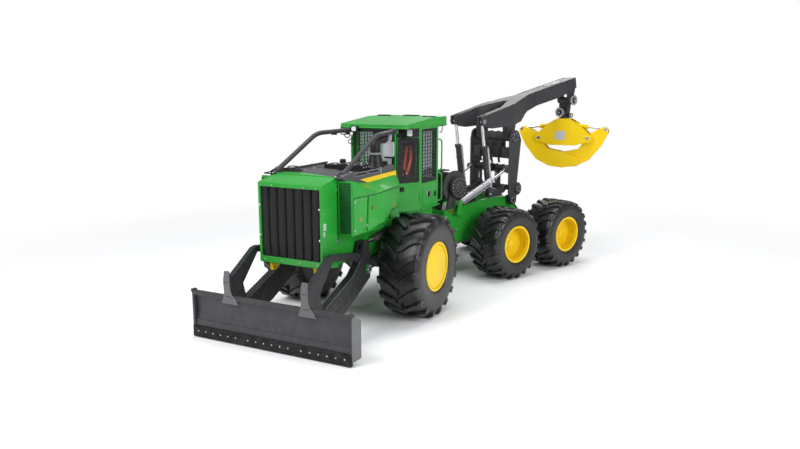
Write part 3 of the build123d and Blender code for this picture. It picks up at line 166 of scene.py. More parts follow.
def add_node(tree, kind, inputs=None, **settings):
    """One shader node with its settings, and each input set to a number or wired to a socket."""
    node = tree.nodes.new(kind if kind.startswith("NodeGroup") else "ShaderNode" + kind)
    for key, value in settings.items():
        setattr(node, key, value)
    for key, value in (inputs or {}).items():
        if isinstance(value, bpy.types.NodeSocket):
            tree.links.new(value, node.inputs[key])
        else:
            node.inputs[key].default_value = value
    return node


# %% Floor and background
floor_mesh = bpy.data.meshes.new("floor")
floor_mesh.from_pydata([(-60, -60, 0), (60, -60, 0), (60, 60, 0), (-60, 60, 0)], [], [(0, 1, 2, 3)])
floor = bpy.data.objects.new("floor", floor_mesh)
bpy.context.scene.collection.objects.link(floor)
floor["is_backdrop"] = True

floor_material, tree = new_material("pale_floor")
where = add_node(tree, "TexCoord")
far = add_node(tree, "VectorMath", {0: where.outputs["Object"]}, operation="LENGTH")
fade = add_node(
    tree, "MapRange", {"Value": far.outputs["Value"], "From Min": 4.0, "From Max": 13.0},
    interpolation_type="SMOOTHSTEP",
)
sheet = add_node(tree, "BsdfDiffuse", {"Color": (0.86, 0.865, 0.875, 1)})
white = add_node(tree, "Emission", {"Color": (1, 1, 1, 1), "Strength": 1.0})
seen = add_node(tree, "LightPath")
direct = add_node(tree, "Math", {0: seen.outputs["Is Camera Ray"], 1: fade.outputs["Result"]}, operation="MULTIPLY")
mix = add_node(tree, "MixShader", {0: direct.outputs[0], 1: sheet.outputs[0], 2: white.outputs[0]})
add_node(tree, "OutputMaterial", {"Surface": mix.outputs[0]})
floor_mesh.materials.append(floor_material)

world = bpy.data.worlds.new("studio")
world.use_nodes = True
bpy.context.scene.world = world
tree = world.node_tree
tree.nodes.clear()
seen = add_node(tree, "LightPath")
glance = add_node(
    tree, "Math", {0: seen.outputs["Is Camera Ray"], 1: seen.outputs["Is Transmission Ray"]}, operation="MAXIMUM"
)
soft = add_node(tree, "Background", {"Color": (0.93, 0.96, 1.0, 1), "Strength": 0.42})
plain = add_node(tree, "Background", {"Color": (1, 1, 1, 1), "Strength": 1.0})
mix = add_node(tree, "MixShader", {0: glance.outputs[0], 1: soft.outputs[0], 2: plain.outputs[0]})
add_node(tree, "OutputWorld", {"Surface": mix.outputs[0]})

# %% Lamps


def soft_box(name, at, aim, size, watts):
    """A square lamp that faces a point."""
    data = bpy.data.lights.new(name, "AREA")
    data.shape = "SQUARE"
    data.size = size
    data.energy = watts
    lamp = bpy.data.objects.new(name, data)
    lamp.location = at
    away = np.array(at, float) - np.array(aim, float)
    flat = math.hypot(away[0], away[1])
    lamp.rotation_euler = (math.atan2(flat, away[2]), 0, math.atan2(away[0], -away[1]) if flat else 0)
    bpy.context.scene.collection.objects.link(lamp)


for lamp_name, at, size, watts in (
    ("key_lamp", (-5, -12, 11), 7, 1500), ("side_lamp", (12, -5, 7), 7, 1050), ("top_lamp", (0, 1, 13), 9, 900),
    ("rim_lamp", (-3, 13, 8), 6, 500),
):
    soft_box(lamp_name, at, (0, 0, 1.3), size, watts)
bpy.context.scene.view_settings.view_transform = "Standard"
print("camera", camera_data.lens, "mm, lamps 4")

# %% [markdown]
# ## Shapes worked out as arrays
#
# Each new shape is a grid of points computed in one go. A lathe carries a profile round an axis, a
# tube or bar carries an outline along a path, and copies repeat one small shape by a stack of
# matrices. The grid's rows and columns give the faces.

# %% Grids, lathes and sweeps
SHUT = 0.0005  # a profile stops at this radius, so that its end is one small face


def grid_shell(points, close_rows=False, caps=True):
    """Faces for a grid of points: point (i, j) joins its neighbours at i+1 and j+1. The columns wrap round.

    The rows wrap round where they are closed, and otherwise the first and the last get a cap.
    """
    rows, columns = points.shape[:2]
    i = np.arange(rows if close_rows else rows - 1)
    i, j = np.meshgrid(i, np.arange(columns), indexing="ij")
    a = i * columns + j
    b = i * columns + (j + 1) % columns
    c = (i + 1) % rows * columns + (j + 1) % columns
    d = (i + 1) % rows * columns + j
    faces = np.stack([a, b, c, d], axis=-1).reshape(-1, 4).tolist()
    if caps and not close_rows:
        faces.append(list(range(columns))[::-1])
        faces.append(list(range((rows - 1) * columns, rows * columns)))
    return points.reshape(-1, 3), faces


def smooth_line(points, steps):
    """A Catmull-Rom curve: each run is the cubic through two points whose slopes come from their neighbours."""
    p = np.asarray(points, float)
    p = np.vstack([2 * p[0] - p[1], p, 2 * p[-1] - p[-2]])
    t = np.linspace(0, len(p) - 3, steps)
    k = np.minimum(t.astype(int), len(p) - 4)
    u = (t - k)[:, None]
    a, b, c, d = p[k], p[k + 1], p[k + 2], p[k + 3]
    return 0.5 * (2 * b + (c - a) * u + (2 * a - 5 * b + 4 * c - d) * u**2 + (3 * b - a - 3 * c + d) * u**3)


def lathe(profile, steps, close=False):
    """Each profile point (x, r) becomes the ring (x, r sin t, r cos t), t going once round the X axis."""
    x, r = np.asarray(profile, float).T
    t = np.linspace(0, 2 * math.pi, steps, endpoint=False)
    ring = np.stack([np.repeat(x[:, None], steps, 1), r[:, None] * np.sin(t), r[:, None] * np.cos(t)], axis=-1)
    return grid_shell(ring, close_rows=close, caps=not close)


def swept(outline, path, up=Z):
    """The outline (a, b) at each path point p becomes p + a side + b lift.

    The side is square to the path and to up, and the lift to the path and the side.
    """
    p, o = np.asarray(path, float), np.asarray(outline, float)
    along = np.gradient(p, axis=0)
    along /= np.linalg.norm(along, axis=1, keepdims=True)
    side = np.cross(along, up)
    side /= np.linalg.norm(side, axis=1, keepdims=True)
    lift = np.cross(side, along)
    return grid_shell(p[:, None] + o[None, :, :1] * side[:, None] + o[None, :, 1:] * lift[:, None])


def circle(radius, steps):
    """The points (r cos t, r sin t)."""
    t = np.linspace(0, 2 * math.pi, steps, endpoint=False)
    return np.stack([radius * np.cos(t), radius * np.sin(t)], axis=-1)


def round_box_outline(width, height, corner, steps=4):
    """A rectangle whose corners are quarter circles."""
    t = np.linspace(0, math.pi / 2, steps)
    quarter = np.stack([np.cos(t), np.sin(t)], axis=-1) * corner
    turns = np.array([[1, 1], [-1, 1], [-1, -1], [1, -1]])
    parts = []
    for k, (sx, sy) in enumerate(turns):
        q = quarter if k % 2 == 0 else quarter[::-1]
        parts.append(q * (sx, sy) + np.array([sx * (width / 2 - corner), sy * (height / 2 - corner)]))
    return np.vstack(parts)


def slab(outline, start, end, axis="x"):
    """A flat outline carried straight from start to end along an axis: (y, z) for x, (x, z) for y, (x, y) for z."""
    o = np.asarray(outline, float)
    levels = np.array([start, end], float)[:, None] * np.ones((1, len(o)))
    u, v = (np.repeat(o[None, :, k], 2, 0) for k in (0, 1))
    order = {"x": (levels, u, v), "y": (u, levels, v), "z": (u, v, levels)}[axis]
    return grid_shell(np.stack(order, axis=-1))


def merged(*shells):
    """Several shells as one list of points and faces."""
    points, faces, base = [], [], 0
    for p, f in shells:
        points.append(p)
        faces += [[v + base for v in face] for face in f]
        base += len(p)
    return np.vstack(points), faces


def copies(shell, places):
    """The shell's points times each matrix of a stack (n, 4, 4), as one shell."""
    p, f = shell
    places = np.asarray(places, float)
    q = np.einsum("nij,vj->nvi", places[:, :3, :3], p) + places[:, None, :3, 3]
    faces = []
    for base in range(0, len(places) * len(p), len(p)):
        faces += [[v + base for v in face] for face in f]
    return q.reshape(-1, 3), faces


def moved(shell, place):
    """The same shell at another place."""
    return carry(place, shell[0]), shell[1]


def facing(normals, at):
    """A stack of matrices that turn local Z to each normal and move the origin to each point."""
    z = np.asarray(normals, float)
    z = z / np.linalg.norm(z, axis=-1, keepdims=True)
    helper = np.where(np.abs(z[:, 2:]) > 0.9, np.array([[1.0, 0, 0]]), np.array([[0, 0, 1.0]]))
    x = np.cross(helper, z)
    x /= np.linalg.norm(x, axis=-1, keepdims=True)
    stack = np.zeros((len(z), 4, 4))
    stack[:, :3, 0], stack[:, :3, 1], stack[:, :3, 2] = x, np.cross(z, x), z
    stack[:, :3, 3] = at
    stack[:, 3, 3] = 1
    return stack


triangles = {}
PLACE_OF = (
    (("rear_frame", "arch", "boom", "winch_drum"), REAR),
    (("crosshead", "swing_link"), TIP),
    (("grapple_", "tong_"), HEAD),
    ("", FRONT),
)


def piece(name, shell, material, body="front_frame", place=None, slot=None, soft=35, bevel=0.0):
    """Puts a shell, or a list of them, into a mesh, points its faces outwards and rides it on a body.

    The place follows from the body, unless it is given. The slot, given or taken from the material, is not used.
    """
    shell = merged(*shell) if isinstance(shell, list) else shell
    if place is None:
        place = next(matrix for starts, matrix in PLACE_OF if body.startswith(starts))
    slot = slot or SLOT_OF[material.name]
    mesh = bpy.data.meshes.new(name)
    mesh.from_pydata(carry(place, shell[0]).tolist(), [], shell[1])
    tidy = bmesh.new()
    tidy.from_mesh(mesh)
    bmesh.ops.recalc_face_normals(tidy, faces=tidy.faces)
    tidy.to_mesh(mesh)
    tidy.free()
    mesh.shade_smooth()
    mesh.set_sharp_from_angle(angle=math.radians(soft))
    made = bpy.data.objects.new(name, mesh)
    bpy.context.scene.collection.objects.link(made)
    mesh.materials.append(material)
    if bevel:
        edge = made.modifiers.new("edge", "BEVEL")
        edge.width = bevel
        edge.segments = 2
        edge.limit_method = "ANGLE"
        edge.angle_limit = math.radians(40)
    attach(made, body)
    triangles[name] = sum(len(face) - 2 for face in shell[1])
    return made


# %% [markdown]
# ## Finishes
#
# Paint on a working machine is never one flat colour. Large soft patches differ a little in
# brightness, the film has a fine orange-peel skin, and a thin dust lies where the machine is low.
# Rubber, cast iron and paint all need the same three things at their own strengths, so they share
# one node group. The group gives a colour, a roughness and a height. The shader itself stays in
# each material. A plate's edge is never sharp either, and the Bevel node rounds what the light
# sees of it without changing its shape.

# %% The shared surface group
surface_group = bpy.data.node_groups.new("worn_surface", "ShaderNodeTree")
for socket, kind, value in (
    ("Colour", "NodeSocketColor", (0.5, 0.5, 0.5, 1)), ("Dust colour", "NodeSocketColor", (0.3, 0.27, 0.22, 1)),
    ("Patches", "NodeSocketFloat", 0.15), ("Dust", "NodeSocketFloat", 0.1), ("Grain size", "NodeSocketFloat", 400.0),
    ("Roughness", "NodeSocketFloat", 0.35),
):
    made = surface_group.interface.new_socket(socket, in_out="INPUT", socket_type=kind)
    made.default_value = value
for socket, kind in (("Colour", "NodeSocketColor"), ("Roughness", "NodeSocketFloat"), ("Height", "NodeSocketFloat")):
    surface_group.interface.new_socket(socket, in_out="OUTPUT", socket_type=kind)

g = surface_group
given = add_node(g, "NodeGroupInput").outputs
out = add_node(g, "NodeGroupOutput")
where = add_node(g, "TexCoord").outputs["Object"]
cloud = add_node(g, "TexNoise", {"Vector": where, "Scale": 1.7, "Detail": 4.0, "Roughness": 0.6})
swing = add_node(
    g, "MapRange", {"Value": cloud.outputs["Fac"], "From Min": 0.3, "From Max": 0.7, "To Min": -1.0, "To Max": 1.0}
)
amount = add_node(g, "Math", {0: swing.outputs["Result"], 1: given["Patches"]}, operation="MULTIPLY")
bright = add_node(g, "Math", {0: amount.outputs[0], 1: 1.0}, operation="ADD")
patched = add_node(g, "VectorMath", {0: given["Colour"], 1: bright.outputs[0]}, operation="MULTIPLY")
up = add_node(g, "SeparateXYZ", {0: where})
low = add_node(g, "MapRange", {"Value": up.outputs["Z"], "From Min": 2.2, "From Max": 0.0})
speck = add_node(g, "TexNoise", {"Vector": where, "Scale": 9.0, "Detail": 6.0, "Roughness": 0.7})
speckle = add_node(g, "MapRange", {"Value": speck.outputs["Fac"], "From Min": 0.42, "From Max": 0.72})
dust_low = add_node(g, "Math", {0: low.outputs["Result"], 1: speckle.outputs["Result"]}, operation="MULTIPLY")
dust = add_node(g, "Math", {0: dust_low.outputs[0], 1: given["Dust"]}, operation="MULTIPLY", use_clamp=True)
dusty = add_node(g, "Mix", {0: dust.outputs[0], 6: patched.outputs[0], 7: given["Dust colour"]}, data_type="RGBA")
rough_add = add_node(g, "Math", {0: dust.outputs[0], 1: 0.6, 2: given["Roughness"]}, operation="MULTIPLY_ADD")
rough_patch = add_node(
    g, "Math", {0: swing.outputs["Result"], 1: 0.03, 2: rough_add.outputs[0]}, operation="MULTIPLY_ADD", use_clamp=True
)
grain = add_node(g, "TexNoise", {"Vector": where, "Scale": given["Grain size"], "Detail": 2.0})
g.links.new(dusty.outputs[2], out.inputs["Colour"])
g.links.new(rough_patch.outputs[0], out.inputs["Roughness"])
g.links.new(grain.outputs["Fac"], out.inputs["Height"])


def finish(
    name, colour, roughness, slot=None, patches=0.12, dust=0.1, grain=350.0, bump=0.05, depth=0.001, round_edge=0.005,
    shine=0.5, **sockets,
):
    """One material: the shared group wired to a Principled shader, with a bump on a softened normal."""
    material, tree = new_material(name, slot)
    given = {"Colour": (*colour, 1), "Patches": patches, "Dust": dust, "Grain size": grain, "Roughness": roughness}
    surface = add_node(tree, "Group", given, node_tree=surface_group).outputs
    bumped = add_node(tree, "Bump", {"Height": surface["Height"], "Strength": bump, "Distance": depth})
    if round_edge:
        soft_edge = add_node(tree, "Bevel", {"Radius": round_edge}, samples=4)
        tree.links.new(soft_edge.outputs["Normal"], bumped.inputs["Normal"])
    wires = {"Base Color": surface["Colour"], "Roughness": surface["Roughness"], "Normal": bumped.outputs["Normal"]}
    more = {key.replace("_", " "): value for key, value in sockets.items()}
    shader = add_node(tree, "BsdfPrincipled", {**wires, "Specular IOR Level": shine, **more})
    add_node(tree, "OutputMaterial", {"Surface": shader.outputs[0]})
    return material


# %% The finishes
green = finish("green_paint", (0.017, 0.295, 0.027), 0.36, patches=0.1, Coat_Weight=0.2, Coat_Roughness=0.12, shine=0.4)
yellow = finish(
    "yellow_paint", (0.79, 0.535, 0.002), 0.4, patches=0.05, dust=0.06, Coat_Weight=0.12, Coat_Roughness=0.15,
    shine=0.25,
)
dark = finish("dark_paint", (0.04, 0.039, 0.043), 0.5, patches=0.1, shine=0.3)
arm_black = finish("arm_black_paint", (0.014, 0.015, 0.018), 0.42, "dark_paint", dust=0.15, shine=0.35)
grey = finish("grey_paint", (0.07, 0.068, 0.074), 0.48, patches=0.08, shine=0.35)
board = finish("board_grey", (0.046, 0.047, 0.053), 0.46, "grey_paint", patches=0.08, dust=0.12, shine=0.3)
edge_steel = finish("edge_steel", (0.008, 0.008, 0.009), 0.5, "dark_paint", patches=0.2, shine=0.2)
rubber = finish(
    "tyre_rubber", (0.0085, 0.0085, 0.009), 0.31, dust=0.03, patches=0.2, grain=90.0, bump=0.35, depth=0.004,
    round_edge=0,
)
casting = finish("casting", (0.035, 0.036, 0.038), 0.6, dust=0.5, grain=160.0, bump=0.5, depth=0.003)
black = finish("black_plastic", (0.009, 0.009, 0.0095), 0.45, dust=0.04, grain=700.0, bump=0.2, shine=0.3)
chrome = finish("bright_rod", (0.8, 0.8, 0.82), 0.1, "bright_steel", patches=0.03, dust=0.0, round_edge=0, Metallic=1.0)
silver = finish("silver_paint", (0.5, 0.5, 0.52), 0.3, "dark_paint", patches=0.05, dust=0.05, Metallic=0.5)
steel = finish("bare_steel", (0.55, 0.55, 0.57), 0.28, "bright_steel", patches=0.1, Metallic=1.0)
print("finishes", len(bpy.data.materials))

glass, tree = new_material("clear_glass")
tint = (0.8, 0.86, 0.83, 1)
shader = add_node(
    tree, "BsdfPrincipled", {"Base Color": tint, "Roughness": 0.03, "IOR": 1.45, "Transmission Weight": 1.0}
)
see_through = add_node(tree, "BsdfTransparent", {"Color": tint})
shadow = add_node(tree, "LightPath").outputs["Is Shadow Ray"]
pane = add_node(tree, "MixShader", {0: shadow, 1: shader.outputs[0], 2: see_through.outputs[0]})
add_node(tree, "OutputMaterial", {"Surface": pane.outputs[0]})

# %% [markdown]
# ## The frame's own pieces
#
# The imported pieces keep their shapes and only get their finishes. A short table gives the finish
# by what a node's name starts with. The first row that fits counts.

# %% Dress the frame's nodes
FINISH_OF = (
    ("tyre_", rubber),
    (("front_crossplates", "rear_crossplates", "handrails"), green),
    (("tow_eyes", "rim_", "tong_"), yellow),
    ("grapple_rod", chrome),
    (("grapple_barrel", "grapple_head"), yellow),
    ("blade_rods", chrome),
    ("blade_arms", arm_black),
    ("blade_barrels", dark),
    ("blade", board),
    ("arch_rods", chrome),
    ("arch_barrels", silver),
    ("boom_rods", chrome),
    (("door_glass", "cab_glass"), glass),
    (("door_", "cab_", "nose_box", "engine_enclosure", "front_chassis", "rear_chassis"), green),
    ("hood_deck", grey),
    ("cutting_edge", edge_steel),
    (("engine_block", "front_axle", "bogie", "winch_drum"), casting),
    ("fairlead", steel),
    (("seat", "console", "air_intake", "grille"), black),
)
for node_name, node in nodes.items():
    node.data.materials.clear()
    node.data.materials.append(next((material for starts, material in FINISH_OF if node_name.startswith(starts)), dark))
print("dressed", len(nodes), "nodes")

# %% [markdown]
# ## Tyres
#
# A forestry tyre has a round body and two rows of tall slanting lugs. A lug starts with a square
# nose at the middle of the tread, slants back and outwards, straightens, and runs down over the
# shoulder, so from the side the tyre looks toothed. The noses lead when the machine drives
# forwards, and the two rows are half a pitch apart. The body could be a torus, but a lathe gives
# the real cross-section with its bulging sides and bead. A lug is a small grid swept along a path
# on the tread, and one stack of turns copies it round the tyre.
#
# The tyres take the place of the plain ones in the frame, which stay behind for collision,
# hidden.

# %% One tyre
WHEEL_STEPS = 96
TREAD = {
    # half width, lug-tip radius, bead radius, lugs a side, lug's half width, share of a pitch it slants
    "front": (0.386, 0.9, 0.448, 18, 0.05, 0.72),
    "rear": (0.385, 0.74, 0.4, 22, 0.036, 0.86),
}


def tyre_body(half, tip, bead, rim):
    """A lathed closed profile: bead, bulging side, rounded shoulder and tread, mirrored, with the bore inside."""
    deep = 0.052 if tip > 0.8 else 0.042
    body = tip - deep
    side = [
        (half - 0.04, rim), (half - 0.04, bead - 0.004), (half - 0.036, bead + 0.004), (half - 0.028, bead + 0.007),
        (half - 0.026, bead + 0.022), (half - 0.016, bead + 0.03), (half - 0.006, bead + 0.35 * (body - bead)),
        (half - 0.001, bead + 0.52 * (body - bead)), (half - 0.006, bead + 0.7 * (body - bead)),
        (half - 0.022, bead + 0.85 * (body - bead)), (half - 0.055, body - 0.018), (half - 0.11, body - 0.006),
        (half - 0.2, body),
    ]
    profile = side + [(0.0, body + 0.002)] + [(-x, r) for x, r in side[::-1]]
    return lathe(profile, WHEEL_STEPS, close=True)


def ring_of(count, radius, x, turn=0.0):
    """Matrices that carry a small part to x and round the X axis at a radius, evenly."""
    t = turn + np.arange(count) * 2 * math.pi / count
    stack = np.tile(np.eye(4), (count, 1, 1))
    stack[:, 1, 1] = stack[:, 2, 2] = np.cos(t)
    stack[:, 1, 2], stack[:, 2, 1] = np.sin(t), -np.sin(t)
    stack[:, 0, 3] = x
    stack[:, 1, 3], stack[:, 2, 3] = radius * np.sin(t), radius * np.cos(t)
    return stack


def tyre_lugs(half, tip, lugs, width, slant):
    """Lugs whose rows of six points follow x(s), a turn t(s) and a top and a foot radius along s from nose to side."""
    pitch = 2 * math.pi / lugs
    # along s: x, share of the slant, top radius, foot radius, half width
    run = np.array(
        [
            (-0.004, 0.0, tip, tip - 0.07, 0.86), (0.05, 0.13, tip, tip - 0.07, 1.0),
            (0.11, 0.36, tip, tip - 0.07, 1.02), (0.17, 0.6, tip - 0.001, tip - 0.07, 0.98),
            (0.235, 0.8, tip - 0.003, tip - 0.08, 0.98), (half - 0.085, 0.92, tip - 0.007, tip - 0.09, 1.0),
            (half - 0.044, 0.98, tip - 0.013, tip - 0.105, 1.04), (half - 0.02, 1.0, tip - 0.032, tip - 0.125, 1.06),
            (half - 0.006, 1.0, tip - 0.062, tip - 0.14, 1.02), (half - 0.001, 1.0, tip - 0.1, tip - 0.15, 0.92),
            (half - 0.004, 1.0, tip - 0.128, tip - 0.155, 0.7),
        ]
    )
    x, share, top, foot, wide = run.T
    inner_x = np.minimum(x, half - 0.045)
    turn = (share - 0.5) * slant * pitch
    reach = wide * width / tip
    flare = 0.014 / tip
    columns = (
        (inner_x, turn - reach - flare, foot), (x, turn - reach, top - 0.007), (x, turn - reach + 0.007 / tip, top),
        (x, turn + reach - 0.007 / tip, top), (x, turn + reach, top - 0.007), (inner_x, turn + reach + flare, foot),
    )
    lug = grid_shell(np.stack([np.stack([cx, r * np.sin(t), r * np.cos(t)], axis=-1) for cx, t, r in columns], axis=1))
    stacks = []
    for row in (-1, 1):
        stack = ring_of(lugs, 0, 0, row / 4 * pitch)
        stack[:, 0, 0] = row
        stacks.append(stack)
    return copies(lug, np.concatenate(stacks))


WHEEL_AT = {}
for wheel in ("front_left", "front_right", "middle_left", "middle_right", "rear_left", "rear_right"):
    kind, rim_r = ("front", 0.4063) if wheel.startswith("front") else ("rear", 0.3623)
    half, tip, bead, lugs, width, slant = TREAD[kind]
    low, high = (np.array(corner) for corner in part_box(f"tyre_{wheel}"))
    turn = 0 if kind == "front" else rear_turn
    WHEEL_AT[wheel] = turn_and_move(turn, (low + high) / 2)
    WHEEL_AT[wheel][2, 3] = tip
    tyre = merged(tyre_body(half, tip, bead, rim_r), tyre_lugs(half, tip, lugs, width, slant))
    made = piece(f"dressed_tyre_{wheel}", tyre, rubber, f"wheel_{wheel}", WHEEL_AT[wheel], soft=38)
    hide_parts(f"tyre_{wheel}")
print("a front tyre has", triangles["dressed_tyre_front_left"], "triangles")

# %% [markdown]
# ## Rims
#
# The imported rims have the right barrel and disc. What the light shows on a real rim is its rolled
# lip, a bright thin ring just inside the tyre. The front wheels have a nearly flush disc. The
# bogie wheels have a deep one, with a ring of nuts round a hub cap at the bottom of the well.
# Each is a lathe profile, and the nuts are six-sided lathes copied round the hub.

# %% Lips, discs and nuts


def rolled_lip(bead, flange, bore):
    """A closed profile that rolls over the rim's flange, lathed."""
    profile = [
        (bead + 0.001, bore), (bead + 0.008, bore - 0.001), (bead + 0.014, bore + 0.004), (bead + 0.017, bore + 0.014),
        (bead + 0.0185, flange - 0.022), (bead + 0.017, flange - 0.009), (bead + 0.012, flange - 0.001),
        (bead + 0.004, flange + 0.0005), (bead + 0.001, flange),
    ]
    return lathe(profile, WHEEL_STEPS, close=True)


def nut(across=0.016, height=0.012):
    """A six-sided lathe on the X axis, its top edge cut back."""
    return lathe([(0, across), (height * 0.8, across), (height, across * 0.82), (height, SHUT)], 6)


def dome(radius, height, steps=14):
    """A button: a lathe of a quarter ellipse."""
    t = np.linspace(0, math.pi / 2, 4)
    profile = [(0, radius)] + list(zip(height * np.sin(t), radius * np.cos(t) + 0.0002))
    return lathe(profile, steps)


for wheel, place in WHEEL_AT.items():
    front = wheel.startswith("front")
    bead = 0.346 if front else 0.345
    bore, flange = (0.386, 0.436) if front else (0.342, 0.388)
    outward = turn_and_move(0 if wheel.endswith("left") else math.pi, (0, 0, 0))
    if front:
        disc = lathe(
            [
                (bead - 0.012, 0.386), (bead - 0.004, 0.384), (bead - 0.003, 0.372), (bead - 0.001, 0.352),
                (bead + 0.004, 0.346), (bead + 0.006, 0.3), (bead + 0.009, 0.18), (bead + 0.013, 0.162),
                (bead + 0.0135, 0.001),
            ],
            WHEEL_STEPS,
        )
        nuts = copies(dome(0.008, 0.006), ring_of(12, 0.365, bead - 0.003))
        valve = moved(
            lathe([(0, 0.006), (0.02, 0.006), (0.022, 0.004), (0.022, 0.0004)], 10),
            turn_and_move(0, (bead + 0.005, 0.1, 0.27)),
        )
        shells = [rolled_lip(bead, flange, bore), disc, nuts, valve]
    else:
        deep = bead - 0.23
        well = lathe(
            [(bead - 0.03, 0.3415), (bead - 0.045, 0.334), (bead - 0.065, 0.334), (bead - 0.08, 0.3415)], WHEEL_STEPS,
            close=True,
        )
        cap = lathe(
            [
                (deep + 0.039, 0.118), (deep + 0.048, 0.112), (deep + 0.052, 0.08), (deep + 0.07, 0.074),
                (deep + 0.074, 0.06), (deep + 0.075, 0.001),
            ],
            48,
        )
        weld = lathe(
            [(deep + 0.001, 0.3418), (deep + 0.001, 0.328), (deep + 0.006, 0.331), (deep + 0.012, 0.3418)], WHEEL_STEPS,
            close=True,
        )
        nuts = copies(nut(), ring_of(10, 0.134, deep + 0.039))
        shells = [rolled_lip(bead, flange, bore), well, cap, weld, nuts]
    piece(f"rim_trim_{wheel}", shells, yellow, f"wheel_{wheel}", place @ outward)
print("rim trim", triangles["rim_trim_middle_left"], "triangles")


# %% [markdown]
# ## Bolts, plates and latches
#
# Much of what makes a machine look real is small: washers under bolt heads, thin cover plates,
# latches. A bolt could be modelled at every place, but one upright bolt and a stack of matrices do
# the same with a few faces. A thin plate is a flat outline with a little depth. A frame round an
# opening is the strip between two outlines.

# %% Small parts


def upright(shell):
    """The same shell with its X axis turned to Z."""
    return shell[0][:, [1, 2, 0]], shell[1]


def block(low, high):
    """A box between two corners: a rectangle in Y and Z carried along X."""
    (x0, y0, z0), (x1, y1, z1) = low, high
    return slab([(y0, z0), (y1, z0), (y1, z1), (y0, z1)], x0, x1)


def bolt(radius=0.012, height=0.009):
    """A washer and a six-sided head on it, lathed, standing on local Z."""
    washer = lathe([(0, radius * 1.6), (0.002, radius * 1.6), (0.003, radius * 1.45), (0.003, SHUT)], 12)
    head = lathe([(0.003, radius), (height, radius), (height + 0.003, radius * 0.8), (height + 0.003, SHUT)], 6)
    return upright(merged(washer, head))


def set_on(points, normal, small):
    """Copies of a small upright part at each point, standing on a common normal."""
    points = np.asarray(points, float).reshape(-1, 3)
    return copies(small, facing(np.tile(np.asarray(normal, float), (len(points), 1)), points))


def bolts(points, normal, radius, height):
    """Bolts of one size at the points."""
    return set_on(points, normal, bolt(radius, height))


def on_circle(centre, radius, count, axis=0, turn=0.0):
    """Points spread evenly on a circle about a centre, in the plane square to axis 0, 1 or 2."""
    t = turn + np.arange(count) * 2 * math.pi / count
    points = np.tile(np.asarray(centre, float), (count, 1))
    a, b = (k for k in range(3) if k != axis)
    points[:, a] += radius * np.cos(t)
    points[:, b] += radius * np.sin(t)
    return points


def at_x(x, line):
    """The points (y, z) of a line, all at one x."""
    return np.column_stack([np.full(len(line), x), line])


def rectangle(x, z, width, height, corner=0.0):
    """An outline about (x, z), with quarter-circle corners where corner is set."""
    if corner:
        return round_box_outline(width, height, corner) + (x, z)
    return np.array([(-1, -1), (1, -1), (1, 1), (-1, 1)]) * (width / 2, height / 2) + (x, z)


def button(radius, height, start=0.0, cut=0.002, inset=0.004, bore=SHUT):
    """The profile of a round cap: its rim is cut back by cut along and by inset inwards."""
    return [(start, radius), (height - cut, radius), (height, radius - inset), (height, bore)]


def collar(inner, outer, length, start=0.0):
    """The profile of a ring between two radii."""
    return [(start, inner), (start, outer), (start + length, outer), (start + length, inner)]


def strip_between(outer, inner, start, end, axis="x"):
    """A flat ring: four rows of points, the outer and inner outlines at both ends of its depth."""
    a, b = (slab(o, start, end, axis)[0].reshape(2, -1, 3) for o in (outer, inner))
    return grid_shell(np.stack([a[0], a[1], b[1], b[0]]), close_rows=True, caps=False)


def tube(points, radius, steps, sides, up=Z):
    """A round bar whose middle line is a smooth curve through the points."""
    return swept(circle(radius, sides), smooth_line(points, steps), up)


def straight(start, along, profile, steps, close=False):
    """A lathe from start in the direction along: profile rows are (distance from start, radius).

    A closed profile makes a hollow ring, and an open one is capped at its ends.
    """
    return copies(upright(lathe(profile, steps, close)), facing([along], [start]))


def both_sides(shell):
    """A shell, or a list of shells, and its mirror image in X."""
    points, faces = merged(*shell) if isinstance(shell, list) else shell
    return merged((points, faces), (points * (-1, 1, 1), faces))


# A darker copy of the green paint: painted shade for the louvres, which sit in shade in the step.
louvre_painted_shade_green = finish("green_paint_painted_shade", (0.008, 0.125, 0.026), 0.42, "green_paint", patches=0.08, dust=0.15)
pale = finish("pale_grey_plastic", (0.42, 0.43, 0.45), 0.5, "grey_paint", patches=0.05)
print("a bolt has", len(bolt()[1]), "faces")

# %% [markdown]
# ## The nose
#
# The nose is a box of folded plate with a grille of seven upright fins. A fin is a broad dark
# plate with a narrow strip folded back along one edge, which catches the light, so the row looks
# like pleats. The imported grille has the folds. Here each fin gets its rounded bends, from one
# outline carried from the sill to the top. Round it go the lip of the opening, two small inspection
# frames, chrome latches and bolts.

# %% Grille fins
NOSE_FACE = -2.136  # y of the front sheet
DECK, DECK_PLATE = 2.5795, 2.586  # z of the deck and of the tops of the plates on it
FIN_PITCH = 0.16
fin_front = np.array(
    [
        (0.0, 0.03), (0.005, 0.022), (0.012, 0.018), (0.03, 0.014), (0.05, 0.012), (0.1, 0.011), (0.112, 0.013),
        (0.12, 0.017),
    ] + [(0.135, 0.032), (0.15, 0.054), (0.156, 0.066), (0.159, 0.076)]
)
fin_outline = np.vstack([fin_front, fin_front[::-1] + (0, 0.008)]) + (-0.56, -2.13)
fin = slab(fin_outline, 1.312, 2.428, axis="z")
fin_places = np.tile(np.eye(4), (7, 1, 1))
fin_places[:, 0, 3] = np.arange(7) * FIN_PITCH
fins = copies(fin, fin_places)
frames = [
    strip_between(rectangle(x, z, 0.09, 0.124), rectangle(x, z, 0.072, 0.106), -2.124, -2.112, axis="y")
    for x, z in ((-0.462, 2.346), (0.34, 2.346))
]
grille = piece("grille_fins", [fins, *frames], black)
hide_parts("grille")
seams = [block((-0.558, -2.1205, z - 0.003), (0.558, -2.11, z + 0.003)) for z in (2.187, 1.96, 1.74, 1.52)]
piece("grille_ribs", seams, black)
print("grille", triangles["grille_fins"], "triangles")

# %% Lip, latches and side fittings


